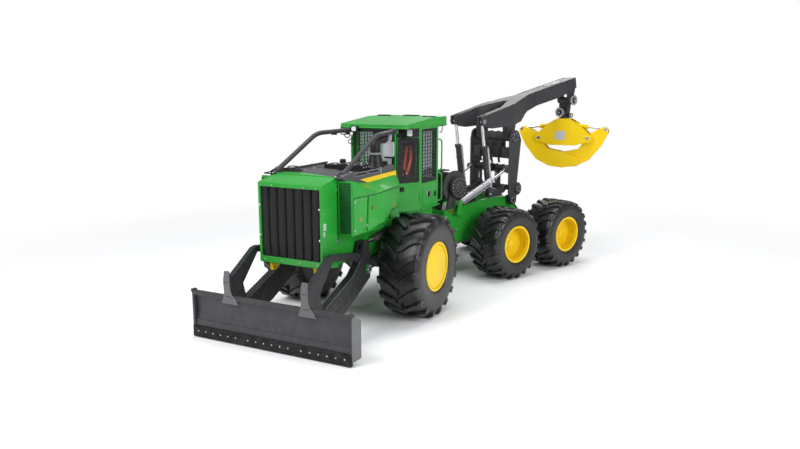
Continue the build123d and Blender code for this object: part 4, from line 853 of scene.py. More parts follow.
lip = strip_between(rectangle(0, 1.848, 1.18, 1.262), rectangle(0, 1.87, 1.124, 1.124), NOSE_FACE, -2.1295, axis="y")
edge_lips = both_sides(block((0.59, -2.134, 1.215), (0.601, -2.1, 2.487)))
piece("nose_lip", [lip, edge_lips], green, bevel=0.002)
cowl = slab(
    [(-0.66, -1.69), (0.66, -1.69), (0.445, -1.672), (0.2, -1.58), (-0.084, -1.455), (-0.3, -1.415), (-0.66, -1.42)],
    DECK, 2.588, axis="z",
)
shoulders = both_sides(
    slab([(-2.128, 2.488), (-2.085, 2.508), (-1.69, 2.5805), (-1.69, 2.572), (-2.085, 2.5)], 0.572, 0.599)
)
piece("nose_cowl", [cowl, shoulders], green, bevel=0.002)
bright = [
    bolts(
        [(-0.332, NOSE_FACE, 2.452), (0.261, NOSE_FACE, 2.446), (-0.545, NOSE_FACE, 2.452), (0.5, NOSE_FACE, 2.452)],
        -Y, 0.008, 0.006,
    ),
    bolts([(x, NOSE_FACE, 1.262) for x in (-0.5, -0.17, 0.17, 0.5)], -Y, 0.008, 0.006),
]
for z in (2.133, 1.648):
    bright.append(moved(dome(0.022, 0.02), turn_and_move(-math.pi / 2, (0.548, -2.122, z))))
    bright.append(moved(dome(0.022, 0.02), turn_and_move(-math.pi / 2, (-0.575, NOSE_FACE, z))))
side_dots = [
    (0.597, y, z)
    for y, z in ((-2.059, 2.063), (-1.828, 2.068), (-1.832, 1.963), (-1.999, 1.411), (-2.06, 1.56), (-1.75, 1.3))
]
bright.append(both_sides(bolts(side_dots, X, 0.007, 0.005)))
for z in (2.395, 1.565):
    bright.append(both_sides(slab(rectangle(-1.7, z, 0.045, 0.06, 0.012), 0.596, 0.611)))
piece("nose_fittings", bright, steel)
badges = [
    slab(rectangle(-2.062, 1.858, 0.075, 0.11, 0.012), 0.597, 0.6005),
    slab(rectangle(-2.078, 1.745, 0.045, 0.08, 0.01), 0.597, 0.6005),
]
piece("nose_side_plates", both_sides(badges), pale)
piece("nose_gap", both_sides(block((0.5965, -1.7005, 1.575), (0.601, -1.688, 2.405))), black)
print("nose fittings", triangles["nose_fittings"], "triangles")

# %% [markdown]
# ## The engine enclosure
#
# Behind the nose the sheet-metal sides step out over the front tyres. The step's front face is a
# tall bank of fine louvres that feeds air to the cooler. The big side doors are folded: a ridge
# rises from two low corners to a peak, so one flat door becomes three planes that take the light
# differently. A fold could be painted on with a bump, but a real fold is three numbers of lift on
# a small grid, so the doors are drawn that way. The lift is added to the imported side, whose X is
# worked out from its corners.

# %% Louvres in the step


def side_x(y, z):
    """X of the enclosure's lower side: linear in height between the lines of its foot and its seam."""
    share = np.clip((np.asarray(z, float) - 1.67) / 0.6, 0, 1)
    foot = np.interp(y, (-1.68, -0.99, 0.0, 0.43), (0.87, 0.89, 0.8, 0.56))
    seam = np.interp(y, (-1.68, -0.99, 0.0, 0.43), (0.87, 0.94, 0.8, 0.56))
    return foot + (seam - foot) * share


teeth = 34
z_teeth = np.linspace(1.7, 2.505, 2 * teeth + 1)
y_teeth = np.where(np.arange(2 * teeth + 1) % 2 == 0, -1.6815, -1.6965)
louvre_outline = np.vstack([np.stack([y_teeth, z_teeth], axis=-1), [(-1.6775, 2.505), (-1.6775, 1.7)]])
louvres = both_sides(slab(louvre_outline, 0.632, 0.852))
# The louvres take the darker green: painted shade between the slats.
piece("step_louvres", louvres, louvre_painted_shade_green, soft=20)
border = both_sides(
    strip_between(
        rectangle(0.741, 2.1025, 0.25, 0.835), rectangle(0.741, 2.1025, 0.218, 0.803), -1.702, -1.679, axis="y"
    )
)
piece("step_frame", border, green, bevel=0.002)
print("louvres", triangles["step_louvres"], "triangles")

# %% Folded side doors


def on_side(points, lift):
    """Points (y, z) on the enclosure's side, moved out in X by lift."""
    y, z = np.asarray(points, float).T
    return np.stack([side_x(y, z) + lift, y, z], axis=-1)


def plate_on_side(points, lift, faces, inside=0):
    """A thin closed plate: the points' own lift outside, half a millimetre off the side inside, joined round the rim.

    The last points, as many as inside says, lie within the rim.
    """
    outer = on_side(points, np.asarray(lift, float))
    inner = on_side(points, 0.0005)
    count = len(points)
    rim = list(range(count - inside))
    walls = [[a, b, b + count, a + count] for a, b in zip(rim, rim[1:] + rim[:1])]
    back = [[v + count for v in face[::-1]] for face in faces]
    return np.vstack([outer, inner]), faces + walls + back


# the door's rim, then its three inner corners: peak, front foot and rear foot of the fold
door_rim = [
    (-1.262, 1.69), (-1.262, 2.25), (-0.92, 2.262), (-0.06, 2.25), (0.0, 2.05), (0.0, 1.895), (-0.35, 1.895),
    (-0.705, 1.69),
]
door_folds = [(-1.215, 1.905), (-0.92, 1.8), (-0.47, 1.945)]
lifts = [0.008, 0.008, 0.014, 0.008, 0.006, 0.006, 0.006, 0.008, 0.04, 0.11, 0.062]
fold_faces = [
    [0, 8, 1], [1, 8, 2], [8, 9, 2], [9, 10, 2], [2, 10, 3], [3, 10, 4], [4, 10, 5], [5, 10, 6], [6, 10, 7], [10, 9, 7],
    [9, 8, 0], [9, 0, 7],
]
doors = plate_on_side(door_rim + door_folds, lifts, fold_faces, len(door_folds))
piece("side_doors", both_sides(doors), green, soft=8)
front_rim = [(-1.66, 1.69), (-1.66, 2.252), (-1.3, 2.25), (-1.3, 1.69)]
piece("front_doors", both_sides(plate_on_side(front_rim, [0.007] * 4, [[0, 1, 2, 3]])), green, bevel=0.002)
print("side doors", triangles["side_doors"], "triangles")

# %% Seams, holes and latches
seam_line = [(y, 2.266) for y in (-1.672, -1.3, -0.99, -0.5, 0.0)]
bead_outline = rectangle(0, 0, 0.008, 0.006)
seam = swept(bead_outline, on_side(seam_line, 0.002), up=X)
upright_seam = swept(bead_outline, on_side([(-1.281, 1.69), (-1.281, 1.95), (-1.281, 2.255)], 0.002), up=X)
piece("enclosure_seams", both_sides([seam, upright_seam]), black)
holes = on_side([(-1.472, 1.912), (-1.162, 2.055), (-0.381, 1.98)], [0.0075, 0.04, 0.05])
ring = upright(lathe([(0, 0.03), (0.004, 0.031), (0.006, 0.028), (0.006, 0.018), (0.002, 0.017)], 20, close=True))
disc = upright(lathe([(0, 0.019), (0.003, 0.018), (0.003, SHUT)], 20))
amber = finish("amber_rim", (0.55, 0.2, 0.03), 0.5, "yellow_paint", patches=0.1)
piece("hole_rims", both_sides(set_on(holes, X, ring)), amber)
# Black discs fill the holes: painted shade for their dark insides.
piece("hole_painted_shade", both_sides(set_on(holes, X, disc)), black)
latch_at = on_side(
    [(-1.29, 1.787), (-1.082, 1.746), (-1.63, 2.2), (-1.63, 1.75), (-0.26, 2.116)], [0.009, 0.018, 0.007, 0.007, 0.014]
)
latch = merged(
    upright(lathe(button(0.02, 0.007, inset=0.003), 16)), block((-0.006, -0.016, 0.006), (0.006, 0.016, 0.017))
)
rivets = on_side([(y, 2.235) for y in (-1.6, -1.45, -1.34, -1.2)] + [(y, 1.705) for y in (-1.6, -1.45, -1.34)], 0.0075)
fittings = merged(set_on(latch_at, X, latch), bolts(rivets, X, 0.006, 0.004))
piece("enclosure_fittings", both_sides(fittings), steel)
print("enclosure fittings", triangles["enclosure_fittings"], "triangles")

# %% [markdown]
# ## The deck
#
# The engine is under a dark deck. Along each side stands a low strip with two openings and, under
# it, a bright yellow stripe that tapers to a point at the front. The stripe stays plain. On top
# there are panel seams, a filler cap with its handle, and bolts.

# %% Strips, stripe and vents
stripe = slab([(-1.168, 2.497), (-0.894, 2.411), (0.05, 2.436), (0.05, 2.523)], 0.6998, 0.7045)
piece("deck_stripes", both_sides(stripe), yellow, bevel=0.001)
under = slab([(-0.905, 2.412), (-0.885, 2.398), (0.05, 2.424), (0.05, 2.4365)], 0.6996, 0.7055)
piece("stripe_shadow_line", both_sides(under), black)
vent_frames, vent_bars = [], []
for y0, y1 in ((-1.29, -0.956), (-0.887, -0.564)):
    y, width = (y0 + y1) / 2, y1 - y0
    vent_frames.append(
        strip_between(
            rectangle(y, 2.585, width + 0.016, 0.062), rectangle(y, 2.585, width - 0.012, 0.036), 0.6994, 0.7055
        )
    )
    vent_bars.append(block((0.688, y0 + 0.004, 2.566), (0.6925, y1 - 0.004, 2.604)))
vent_grey = finish("vent_grey", (0.17, 0.17, 0.18), 0.45, "grey_paint", patches=0.05)
piece("vent_frames", both_sides(vent_frames), vent_grey, bevel=0.001)
piece("vent_backs", both_sides(vent_bars), black)
piece("strip_posts", both_sides(block((0.699, -0.498, 2.505), (0.709, -0.482, 2.632))), pale, bevel=0.002)
print("stripe from", -1.168, "to", 0.05)

# %% Deck top
panels = [
    slab(rectangle(0.0, -1.05, 0.98, 0.62, 0.03), DECK, DECK_PLATE, axis="z"),
    slab(rectangle(0.0, -0.37, 0.62, 0.6, 0.03), DECK, DECK_PLATE, axis="z"),
    slab(rectangle(-0.5, -0.36, 0.3, 0.56, 0.03), DECK, DECK_PLATE, axis="z"),
    slab(rectangle(0.0, 0.14, 0.86, 0.3, 0.03), DECK, DECK_PLATE, axis="z"),
]
piece("deck_panels", panels, grey, bevel=0.002)
cap_at = (-0.52, -1.3)
cap = upright(
    lathe(
        [(2.58, 0.135), (2.596, 0.135), (2.602, 0.128), (2.602, 0.105), (2.618, 0.102), (2.626, 0.092), (2.628, SHUT)],
        36,
    )
)
handle = tube(
    [(-0.09, 0, 2.618), (-0.075, 0, 2.658), (0, 0, 2.668), (0.075, 0, 2.658), (0.09, 0, 2.618)], 0.009, 20, 10, up=Y
)
piece("filler_cap", moved(merged(cap, handle), turn_and_move(0.6, (*cap_at, 0))), black)
hose = tube(
    [(-0.6, -1.62, 2.59), (-0.56, -1.52, 2.64), (-0.44, -1.45, 2.655), (-0.36, -1.38, 2.625), (-0.34, -1.28, 2.592)],
    0.011, 40, 10,
)
piece("deck_handle", hose, black)
lines = [block((x - 0.003, -1.36, DECK), (x + 0.003, 0.28, 2.5865)) for x in (-0.655, 0.655)]
piece("deck_lines", lines, black)
deck_bolts = [(x, y, DECK_PLATE) for x in (-0.45, 0.45) for y in (-1.31, -1.05, -0.79)]
deck_bolts += [(x, y, DECK_PLATE) for x in (-0.27, 0.27) for y in (-0.62, -0.12)]
deck_bolts += [(x, 0.14, DECK_PLATE) for x in (-0.38, 0.0, 0.38)]
foot_bolts = [(x, y, 2.581) for x in (0.585, 0.672) for y in (-1.64, -1.48)]
shells = [bolts(deck_bolts, Z, 0.009, 0.007), both_sides(bolts(foot_bolts, Z, 0.014, 0.012))]
piece("deck_bolts", shells, steel)
print("deck bolts", triangles["deck_bolts"], "triangles")
guards = [
    block((0.08, -0.86, 2.584), (0.56, -0.6, 2.69)), block((-0.3, -0.7, 2.584), (0.05, -0.56, 2.655)),
    straight((-0.42, 0.1, 2.584), Z, [(0, 0.06), (0.05, 0.06), (0.056, 0.052), (0.08, 0.052), (0.085, 0.001)], 24),
    block((0.14, 0.02, 2.584), (0.4, 0.3, 2.65)),
]
piece("deck_guards", guards, black, bevel=0.006)
guard_bolts = [(x, y, 2.69) for x in (0.11, 0.27, 0.4, 0.53) for y in (-0.83, -0.63)]
guard_bolts += [(x, -0.63, 2.655) for x in (-0.27, -0.12, 0.02)]
side_studs = [(0.56, y, 2.645) for y in (-0.82, -0.73, -0.64)]
piece("guard_bolts", [bolts(guard_bolts, Z, 0.01, 0.01), bolts(side_studs, X, 0.01, 0.008)], steel)

# %% [markdown]
# ## The cab
#
# The cab is a green box with barred side windows. Its slanted doors are nearly all glass in a wide
# black frame, so from outside they read as one black panel. Inside there is dark lining, which is
# why the glass looks dark. The doors' frames and panes ride on the doors, and the rest on the front
# frame. The lining could be one inner shell, but strips round the window openings need fewer faces
# and leave the openings clear.

# %% Door frames, seals, handles and headers
WALL_FOOT = np.array([0.44, 0.5])  # plan corners of the slanted wall
WALL_HEAD = np.array([0.7, 1.015])


def door_place(side, out):
    """The slanted wall's plane: local X along the wall rearwards, Z up and Y outwards, moved out by out."""
    along = unit(WALL_HEAD - WALL_FOOT) * (side, 1)
    outward = np.array([along[1] * side, -along[0] * side])
    place = np.eye(4)
    place[:2, 0], place[:2, 1] = along, outward
    place[:2, 3] = (WALL_FOOT + WALL_HEAD) / 2 * (side, 1) + outward * out
    return FRONT @ place


wall_length = float(np.linalg.norm(WALL_HEAD - WALL_FOOT))
door_half = (wall_length - 0.06) / 2
for side_name, side in (("left", 1), ("right", -1)):
    body = f"door_{side_name}"
    frame_shell = strip_between(
        rectangle(-0.011, 2.63, 2 * door_half - 0.03, 0.83, 0.03), rectangle(0, 2.615, wall_length - 0.2, 0.74, 0.05),
        0, 0.005, axis="y",
    )
    piece(f"door_frame_{side_name}", frame_shell, black, body, door_place(side, 0.04), bevel=0.0015)
    seal = strip_between(
        rectangle(0, 2.615, wall_length - 0.196, 0.744, 0.05), rectangle(0, 2.615, wall_length - 0.22, 0.72, 0.04), 0,
        0.012, axis="y",
    )
    piece(f"door_seal_{side_name}", seal, rubber, body, door_place(side, 0.028), slot="black_plastic", bevel=0.002)
    handle = merged(
        block((-0.215, 0.0, 2.06), (-0.115, 0.012, 2.15)),
        tube(
            [
                (-0.195, 0.01, 2.105), (-0.185, 0.034, 2.105), (-0.165, 0.038, 2.105), (-0.135, 0.034, 2.105),
                (-0.128, 0.01, 2.105),
            ],
            0.007, 20, 8,
        ),
    )
    piece(f"door_handle_{side_name}", handle, black, body, door_place(side, 0.04), bevel=0.002)
    print("door", side_name, "hinge at", joint_at(f"door_{side_name}_open").round(3))

wall = np.linalg.inv(FRONT) @ door_place(1, 0.0)
reach = wall_length / 2
header = moved(block((-reach + 0.025, 0.0, 3.052), (reach - 0.03, 0.006, 3.205)), wall)
pillar = moved(block((-reach - 0.004, -0.002, 1.69), (-reach + 0.026, 0.008, 3.205)), wall)
# The headers are black like the door frames, and the same black band under the roof's edge is also painted shadow.
piece("door_headers", both_sides(header), black, bevel=0.002)
piece("cab_corner_posts", both_sides(pillar), green, bevel=0.002)

# %% Windscreen, side window and lining
screen = strip_between(
    rectangle(0, 2.72, 0.85, 0.95, 0.05), rectangle(0, 2.72, 0.76, 0.85, 0.05), 0.488, 0.502, axis="y"
)
piece("windscreen_frame", screen, black, bevel=0.003)
piece("windscreen_post", block((-0.215, 0.484, 2.3), (-0.195, 0.497, 3.14)), green, bevel=0.003)
wiper = merged(
    tube([(0.02, 0.48, 2.27), (0.03, 0.468, 2.32), (0.1, 0.464, 2.6), (0.14, 0.466, 2.78)], 0.007, 16, 8, up=X),
    block((0.125, 0.47, 2.48), (0.137, 0.484, 2.98)), block((-0.02, 0.474, 2.235), (0.06, 0.492, 2.285)),
)
piece("wiper", wiper, black)
grips = [
    tube(
        [
            (-0.42, 0.487, z + 0.045), (-0.47, 0.462, z + 0.045), (-0.515, 0.455, z + 0.02), (-0.515, 0.455, z - 0.02),
            (-0.47, 0.462, z - 0.045), (-0.42, 0.487, z - 0.045),
        ],
        0.008, 24, 8,
    )
    for z in (3.12, 2.96)
]
piece("windscreen_grips", grips, black)
window_rim = strip_between(
    rectangle(1.4, 2.675, 0.64, 1.01, 0.035), rectangle(1.4, 2.675, 0.56, 0.93, 0.03), 0.699, 0.706
)
piece("side_window_rims", both_sides(window_rim), black, bevel=0.002)
cab_plan = [(0.4, 0.56), (0.64, 1.03), (0.64, 1.745), (-0.64, 1.745), (-0.64, 1.03), (-0.4, 0.56)]
lining = [
    both_sides(strip_between(rectangle(1.4, 2.44, 0.69, 1.42), rectangle(1.4, 2.675, 0.6, 0.97), 0.64, 0.648)),
    strip_between(rectangle(0, 2.44, 1.28, 1.42), rectangle(0, 2.675, 1.2, 0.93), 1.738, 1.748, axis="y"),
    block((-0.43, 0.556, 1.73), (0.43, 0.566, 2.285)), slab(cab_plan, 3.196, 3.206, axis="z"),
    slab(cab_plan, 1.7205, 1.728, axis="z"), block((-0.16, 1.66, 1.73), (0.37, 1.735, 3.02)),
]
piece("cab_lining", lining, black)
print("lining", triangles["cab_lining"], "triangles")

# %% Post panel under the side window
post = slab(rectangle(1.425, 1.905, 0.6, 0.36, 0.02), 0.6995, 0.706)
piece("post_panels", both_sides(post), green, bevel=0.002)
plate_at = (0.706, 1.378, 1.937)
plate_ring = straight(
    plate_at, X, [(0, 0.082), (0.006, 0.082), (0.008, 0.078), (0.008, 0.07), (0.005, 0.068), (0, 0.068)], 32, close=True
)
plate_disc = straight(plate_at, X, [(0, 0.069), (0.004, 0.067), (0.005, 0.04), (0.005, SHUT)], 32)
piece("round_plate_rims", both_sides(plate_ring), steel, slot="bare_steel")
piece("round_plates", both_sides(plate_disc), black)
latch_plate = merged(
    block((0.706, 1.615, 1.865), (0.712, 1.697, 1.965)), block((0.712, 1.64, 1.885), (0.724, 1.66, 1.945))
)
piece("panel_latches", both_sides(latch_plate), black, bevel=0.003)
piece("cab_sills", both_sides(block((0.6, 1.03, 1.672), (0.735, 1.83, 1.69))), green, bevel=0.004)
grip_feet = [
    block((x - 0.028, 1.797, z - 0.03), (x + 0.028, 1.808, z + 0.03))
    for x in (-0.67, 0.67) for z in (2.35, 2.95, 1.75, 2.3)
]
piece("handrail_feet", grip_feet, green, bevel=0.003)
rails = []
for low, high in ((2.35, 2.95), (1.75, 2.3)):
    middle = (low + high) / 2
    rail = [(0.67, 1.795, low), (0.705, 1.865, low), (0.73, 1.888, low + 0.035), (0.735, 1.89, low + 0.1)]
    rail += [(0.735, 1.89, middle)] + [(x, y, low + high - z) for x, y, z in rail[::-1]]
    rails.append(tube(rail, 0.015, 64, 14, up=X))
rail_tubes = piece("rail_tubes", both_sides(rails), green)
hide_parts("handrails")
print("post panels and handrails done")

# %% [markdown]
# ## The roof
#
# The roof is one pressed sheet with rounded edges. It carries lamps at its front corners, in black
# housings with pale lenses, and a few dark fittings on top. The top looks paler than the sides only
# because it faces the light.

# %% Roof trim and lamps
GUTTER_Z = 3.225
gutter_plan = [
    (-0.712, 2.17), (-0.712, 1.2), (-0.712, 0.5), (-0.67, 0.452), (0.67, 0.452), (0.712, 0.5), (0.712, 1.2),
    (0.712, 2.17),
]
gutter = swept(round_box_outline(0.016, 0.02, 0.005), [(x, y, GUTTER_Z) for x, y in gutter_plan])
piece("roof_gutter", gutter, green)
# A black plate under the roof's edge: painted shadow under the overhang.
piece("roof_underside_painted_shadow", both_sides(block((0.4, 0.475, 3.196), (0.69, 2.17, 3.2095))), black)
housings, lenses, lens_rims = [], [], []
for x, y, z, width, height in (
    (0.7, 0.6, 3.145, 0.14, 0.155), (-0.7, 0.6, 3.145, 0.14, 0.155), (-0.36, 0.405, 3.2, 0.132, 0.118)
):
    housings.append(slab(rectangle(x, z, width, height, 0.02), y - 0.012, y + 0.105, axis="y"))
    lens_rims.append(
        strip_between(
            rectangle(x, z, width - 0.012, height - 0.014, 0.02), rectangle(x, z, width - 0.034, height - 0.036, 0.016),
            y - 0.02, y - 0.011, axis="y",
        )
    )
    lenses.append(slab(rectangle(x, z, width - 0.03, height - 0.032, 0.016), y - 0.015, y - 0.0115, axis="y"))
piece("lamp_housings", housings, black, bevel=0.004)
piece("lamp_rims", lens_rims, black, bevel=0.002)
lens_finish = finish(
    "lamp_lens", (0.8, 0.82, 0.84), 0.08, "clear_glass", patches=0.03, dust=0.0, grain=60.0, bump=0.4, depth=0.002,
    round_edge=0, Coat_Weight=1.0,
)
piece("lamp_lenses", lenses, lens_finish, bevel=0.001)
bracket_line = [
    (0.6, 0.56, 3.16), (0.56, 0.555, 3.12), (0.545, 0.555, 3.05), (0.6, 0.56, 3.02), (0.66, 0.57, 3.04),
    (0.7, 0.6, 3.075),
]
piece("lamp_brackets", both_sides(tube(bracket_line, 0.009, 30, 8, up=Y)), black)
tops = [
    slab(rectangle(-0.5, 1.8, 0.26, 0.15, 0.03), 3.38, 3.404, axis="z"),
    slab(rectangle(0.54, 1.72, 0.26, 0.16, 0.03), 3.38, 3.4, axis="z"),
    slab(rectangle(0.0, 2.02, 0.3, 0.2, 0.03), 3.38, 3.402, axis="z"),
]
piece("roof_fittings", tops, black, bevel=0.006)
ribs = [block((x - 0.012, 1.6, 3.383), (x + 0.012, 2.17, 3.3905)) for x in (-0.25, 0.25)]
piece("roof_ribs", ribs, green, bevel=0.003)
rear_bracket = both_sides(
    tube([(0.6, 2.19, 3.205), (0.6, 2.195, 3.13), (0.6, 2.16, 3.075), (0.6, 2.08, 3.07)], 0.01, 20, 8, up=X)
)
piece("roof_rear_brackets", rear_bracket, black)
print("roof trim", triangles["roof_gutter"], "triangles")

# %% [markdown]
# ## Mirror, risers and duct
#
# Two bent tubes rise from the hood to the roof and push branches away. They end in clamps with
# bolts. A mirror in a pale case hangs from the left one. Behind it the intake duct stands on the
# deck: a cone with a bolted foot, a bright clamp band, and an elbow that turns the pipe towards the
# cab. A curved pipe is one outline carried along a smooth line, so the duct is made new as one
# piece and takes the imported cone's place.

# %% Intake duct
DUCT = (0.46, -0.25)
cone = upright(
    lathe(
        [
            (2.58, 0.165), (2.592, 0.165), (2.596, 0.158), (2.64, 0.14), (2.7, 0.122), (2.775, 0.108), (2.8, 0.098),
            (2.86, 0.095), (2.864, 0.086),
        ],
        36,
    )
)
elbow_line = smooth_line(
    [(0, 0, 2.85), (0, 0, 2.93), (0, 0.015, 3.0), (0, 0.08, 3.055), (0, 0.17, 3.068), (0, 0.3, 3.068)], 30
)
elbow = swept(circle(0.078, 28), elbow_line, up=X)
mouth = straight(
    (0, 0.28, 3.068), Y, [(0, 0.084), (0.03, 0.084), (0.034, 0.08), (0.034, 0.066), (0.03, 0.064), (0.03, SHUT)], 28
)
ridges = merged(
    *[
        straight((0, y, 3.068), Y, [(0, 0.0775), (0.003, 0.082), (0.009, 0.082), (0.012, 0.0775)], 28)
        for y in (0.14, 0.19, 0.24)
    ]
)
duct = piece("intake_duct", moved(merged(cone, elbow, mouth, ridges), turn_and_move(0, (*DUCT, 0))), black)
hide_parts("air_intake")
band = upright(lathe(collar(0.0962, 0.1, 0.028, 2.822), 36, close=True))
lug = block((-0.02, -0.118, 2.826), (0.02, -0.098, 2.846))
piece("duct_band", moved(merged(band, lug), turn_and_move(0, (*DUCT, 0))), chrome)
foot_ring = on_circle((*DUCT, 2.592), 0.15, 10, axis=2)
piece("duct_bolts", bolts(foot_ring, Z, 0.008, 0.006), steel)
print("duct", triangles["intake_duct"], "triangles")

# %% Mirror and riser clamps
mirror_case = slab(rectangle(0.417, 2.86, 0.205, 0.262, 0.025), 0.286, 0.334, axis="y")
mirror_lip = strip_between(
    rectangle(0.417, 2.86, 0.198, 0.255, 0.025), rectangle(0.417, 2.86, 0.176, 0.232, 0.02), 0.282, 0.288, axis="y"
)
yoke = tube(
    [
        (0.355, 0.296, 3.15), (0.352, 0.29, 3.08), (0.372, 0.286, 3.005), (0.417, 0.284, 2.975), (0.462, 0.286, 3.005),
        (0.482, 0.29, 3.08), (0.479, 0.296, 3.15),
    ],
    0.011, 36, 10, up=Y,
)
piece("mirror_case", [mirror_case, mirror_lip, yoke], pale, bevel=0.002)
foot = block((0.34, 0.285, 2.7), (0.494, 0.335, 2.728))
piece("mirror_foot", foot, black, bevel=0.004)
riser_bend = np.array([0.6, -0.46, 3.16])
riser_end = np.array([0.47, 0.4597, 3.175])
riser_foot = np.array([0.635, -1.68, 2.57])


def bent_line(start, bend, end, reach=0.16, steps=14):
    """Two straight runs joined by a quadratic curve that leaves each run at reach from the bend."""
    before = bend + unit(start - bend) * reach
    after = bend + unit(end - bend) * reach
    u = np.linspace(0, 1, steps)[:, None]
    return np.vstack([start, (1 - u) ** 2 * before + 2 * u * (1 - u) * bend + u**2 * after, end])


riser_tube = swept(circle(0.0405, 28), bent_line(riser_foot, riser_bend, riser_end))
mirror_bar = merged(
    block((0.339, 0.302, 3.131), (0.515, 0.328, 3.149)),
    *[block((x - 0.007, 0.302, 2.96), (x + 0.007, 0.328, 3.135)) for x in (0.347, 0.467)],
)
riser_piece = piece("riser_tubes", [both_sides(riser_tube), mirror_bar], dark, soft=30)
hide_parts("risers")
along_riser = unit(riser_bend - riser_foot)
collar_at = riser_foot + along_riser * 0.075
back_run = unit(riser_bend - riser_end)
collars = [
    straight(
        collar_at, along_riser,
        [(0, 0.041), (0.0, 0.052), (0.006, 0.055), (0.07, 0.055), (0.076, 0.052), (0.076, 0.041)], 28,
    ),
    straight(
        riser_end + back_run * 0.085, back_run,
        [(0, 0.041), (0, 0.05), (0.005, 0.053), (0.06, 0.053), (0.065, 0.05), (0.065, 0.041)], 28,
    ),
]
rod_at = riser_bend + (riser_end - riser_bend) * 0.5
clamps = merged(
    *collars,
    block(
        (rod_at[0] - 0.05, rod_at[1] - 0.025, rod_at[2] - 0.062),
        (rod_at[0] + 0.05, rod_at[1] + 0.025, rod_at[2] - 0.035),
    ),
)
piece("riser_clamps", both_sides(clamps), dark, bevel=0.002)
plates = [
    slab([(-1.735, 2.588), (-1.4, 2.588), (-1.42, 2.64), (-1.5, 2.668), (-1.62, 2.625), (-1.735, 2.6)], 0.576, 0.59),
    slab([(-1.735, 2.588), (-1.5, 2.588), (-1.53, 2.645), (-1.62, 2.64), (-1.735, 2.6)], 0.678, 0.692),
    block((0.565, -1.745, 2.581), (0.697, -1.39, 2.592)),
]
piece("riser_feet", both_sides(plates), dark, bevel=0.003)
end_bolts = [
    bolts([(0.447, 0.459, 3.15), (0.493, 0.459, 3.15), (0.447, 0.459, 3.2), (0.493, 0.459, 3.2)], -Y, 0.009, 0.007)
]
end_bolts += [bolts([(0.692, -1.68, 2.607), (0.692, -1.6, 2.618), (0.692, -1.54, 2.618)], X, 0.01, 0.009)]
end_bolts += [bolts([(0.6, -1.735, 2.592), (0.668, -1.735, 2.592)], Z, 0.013, 0.011)]
piece("riser_bolts", both_sides(end_bolts), steel)
print("riser bolts", triangles["riser_bolts"], "triangles")

# %% [markdown]
# ## The seat
#
# A driver's seat is a foam cushion and a back in woven cloth on a suspension box, with a red
# harness. The pads start as crowned closed forms, a little smaller than the real ones, and a short
# cloth simulation with air pressure swells them, so the cloth is tight and the sides pull in. Then
# sewn channels are pressed in along their lines. The straps are flat webbing, drawn directly,
# because the simulation's remesh would erase them.

# %% Padded forms


def pillow(width, depth, height):
    """Stacked round-cornered outlines about the origin: they shrink by a quarter circle near the top and the foot."""
    t = np.linspace(-math.pi / 2, math.pi / 2, 11)
    shrink = 0.035 * (1 - np.cos(t))
    rows = [
        np.column_stack([round_box_outline(width - 2 * s, depth - 2 * s, 0.05), np.full(16, height / 2 * math.sin(a))])
        for s, a in zip(shrink, t)
    ]
    return grid_shell(np.stack(rows))


def swell(shell, limit=0.014):
    """The shell remeshed and blown up as cloth under pressure, no point moving further than limit."""
    mesh = bpy.data.meshes.new("pad_start")
    mesh.from_pydata(shell[0].tolist(), [], shell[1])
    pad = bpy.data.objects.new("pad_start", mesh)
    bpy.context.scene.collection.objects.link(pad)
    net = pad.modifiers.new("net", "REMESH")
    net.mode = "VOXEL"
    net.voxel_size = 0.011
    bpy.context.view_layer.update()
    fine = bpy.data.meshes.new_from_object(pad.evaluated_get(bpy.context.evaluated_depsgraph_get()))
    pad.modifiers.clear()
    pad.data = fine
    start = np.empty(len(fine.vertices) * 3)
    fine.vertices.foreach_get("co", start)
    start = start.reshape(-1, 3)
    faces = [list(polygon.vertices) for polygon in fine.polygons]
    points = start
    cloth = pad.modifiers.new("cloth", "CLOTH")
    cloth.settings.quality = 5
    cloth.settings.use_pressure = True
    cloth.settings.uniform_pressure_force = 4
    cloth.settings.effector_weights.gravity = 0
    for step in range(1, 21):
        bpy.context.scene.frame_set(step)
    shaped = pad.evaluated_get(bpy.context.evaluated_depsgraph_get()).to_mesh()
    points = np.empty(len(shaped.vertices) * 3)
    shaped.vertices.foreach_get("co", points)
    points = points.reshape(-1, 3)
    bpy.context.scene.frame_set(1)
    move = points - start
    length = np.linalg.norm(move, axis=1, keepdims=True)
    points = start + move * np.minimum(1, limit / np.maximum(length, 1e-9))
    bpy.data.objects.remove(pad)
    return points, faces


def channels(shell, across, along, depth=0.01, width=0.008):
    """Sewn lines pressed into the top: z drops by depth exp(-(d / width)^2), d the distance to the nearest line."""
    points = shell[0].copy()
    gap = np.full(len(points), 9.0)
    for x in across:
        gap = np.minimum(gap, np.abs(points[:, 0] - x))
    for y in along:
        gap = np.minimum(gap, np.abs(points[:, 1] - y))
    top = points[:, 2] > 0
    points[:, 2] -= np.where(top, depth * np.exp(-((gap / width) ** 2)), 0)
    return points, shell[1]


cloth_material, tree = new_material("seat_cloth")
where = add_node(tree, "TexCoord").outputs["Object"]
weave_x = add_node(tree, "TexWave", {"Vector": where, "Scale": 180.0}, bands_direction="X")
weave_z = add_node(tree, "TexWave", {"Vector": where, "Scale": 180.0}, bands_direction="Z")
woven = add_node(tree, "Math", {0: weave_x.outputs["Fac"], 1: weave_z.outputs["Fac"]}, operation="MULTIPLY")
tint = add_node(
    tree, "Mix", {0: woven.outputs[0], 6: (0.012, 0.012, 0.013, 1), 7: (0.04, 0.04, 0.043, 1)}, data_type="RGBA"
)
relief = add_node(tree, "Bump", {"Height": woven.outputs[0], "Strength": 0.5, "Distance": 0.001})
wires = {"Base Color": tint.outputs[2], "Normal": relief.outputs["Normal"]}
shader = add_node(tree, "BsdfPrincipled", {**wires, "Roughness": 0.9, "Sheen Weight": 0.3})
add_node(tree, "OutputMaterial", {"Surface": shader.outputs[0]})
print("cloth ready, simulated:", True)

# %% Cushion, back and harness


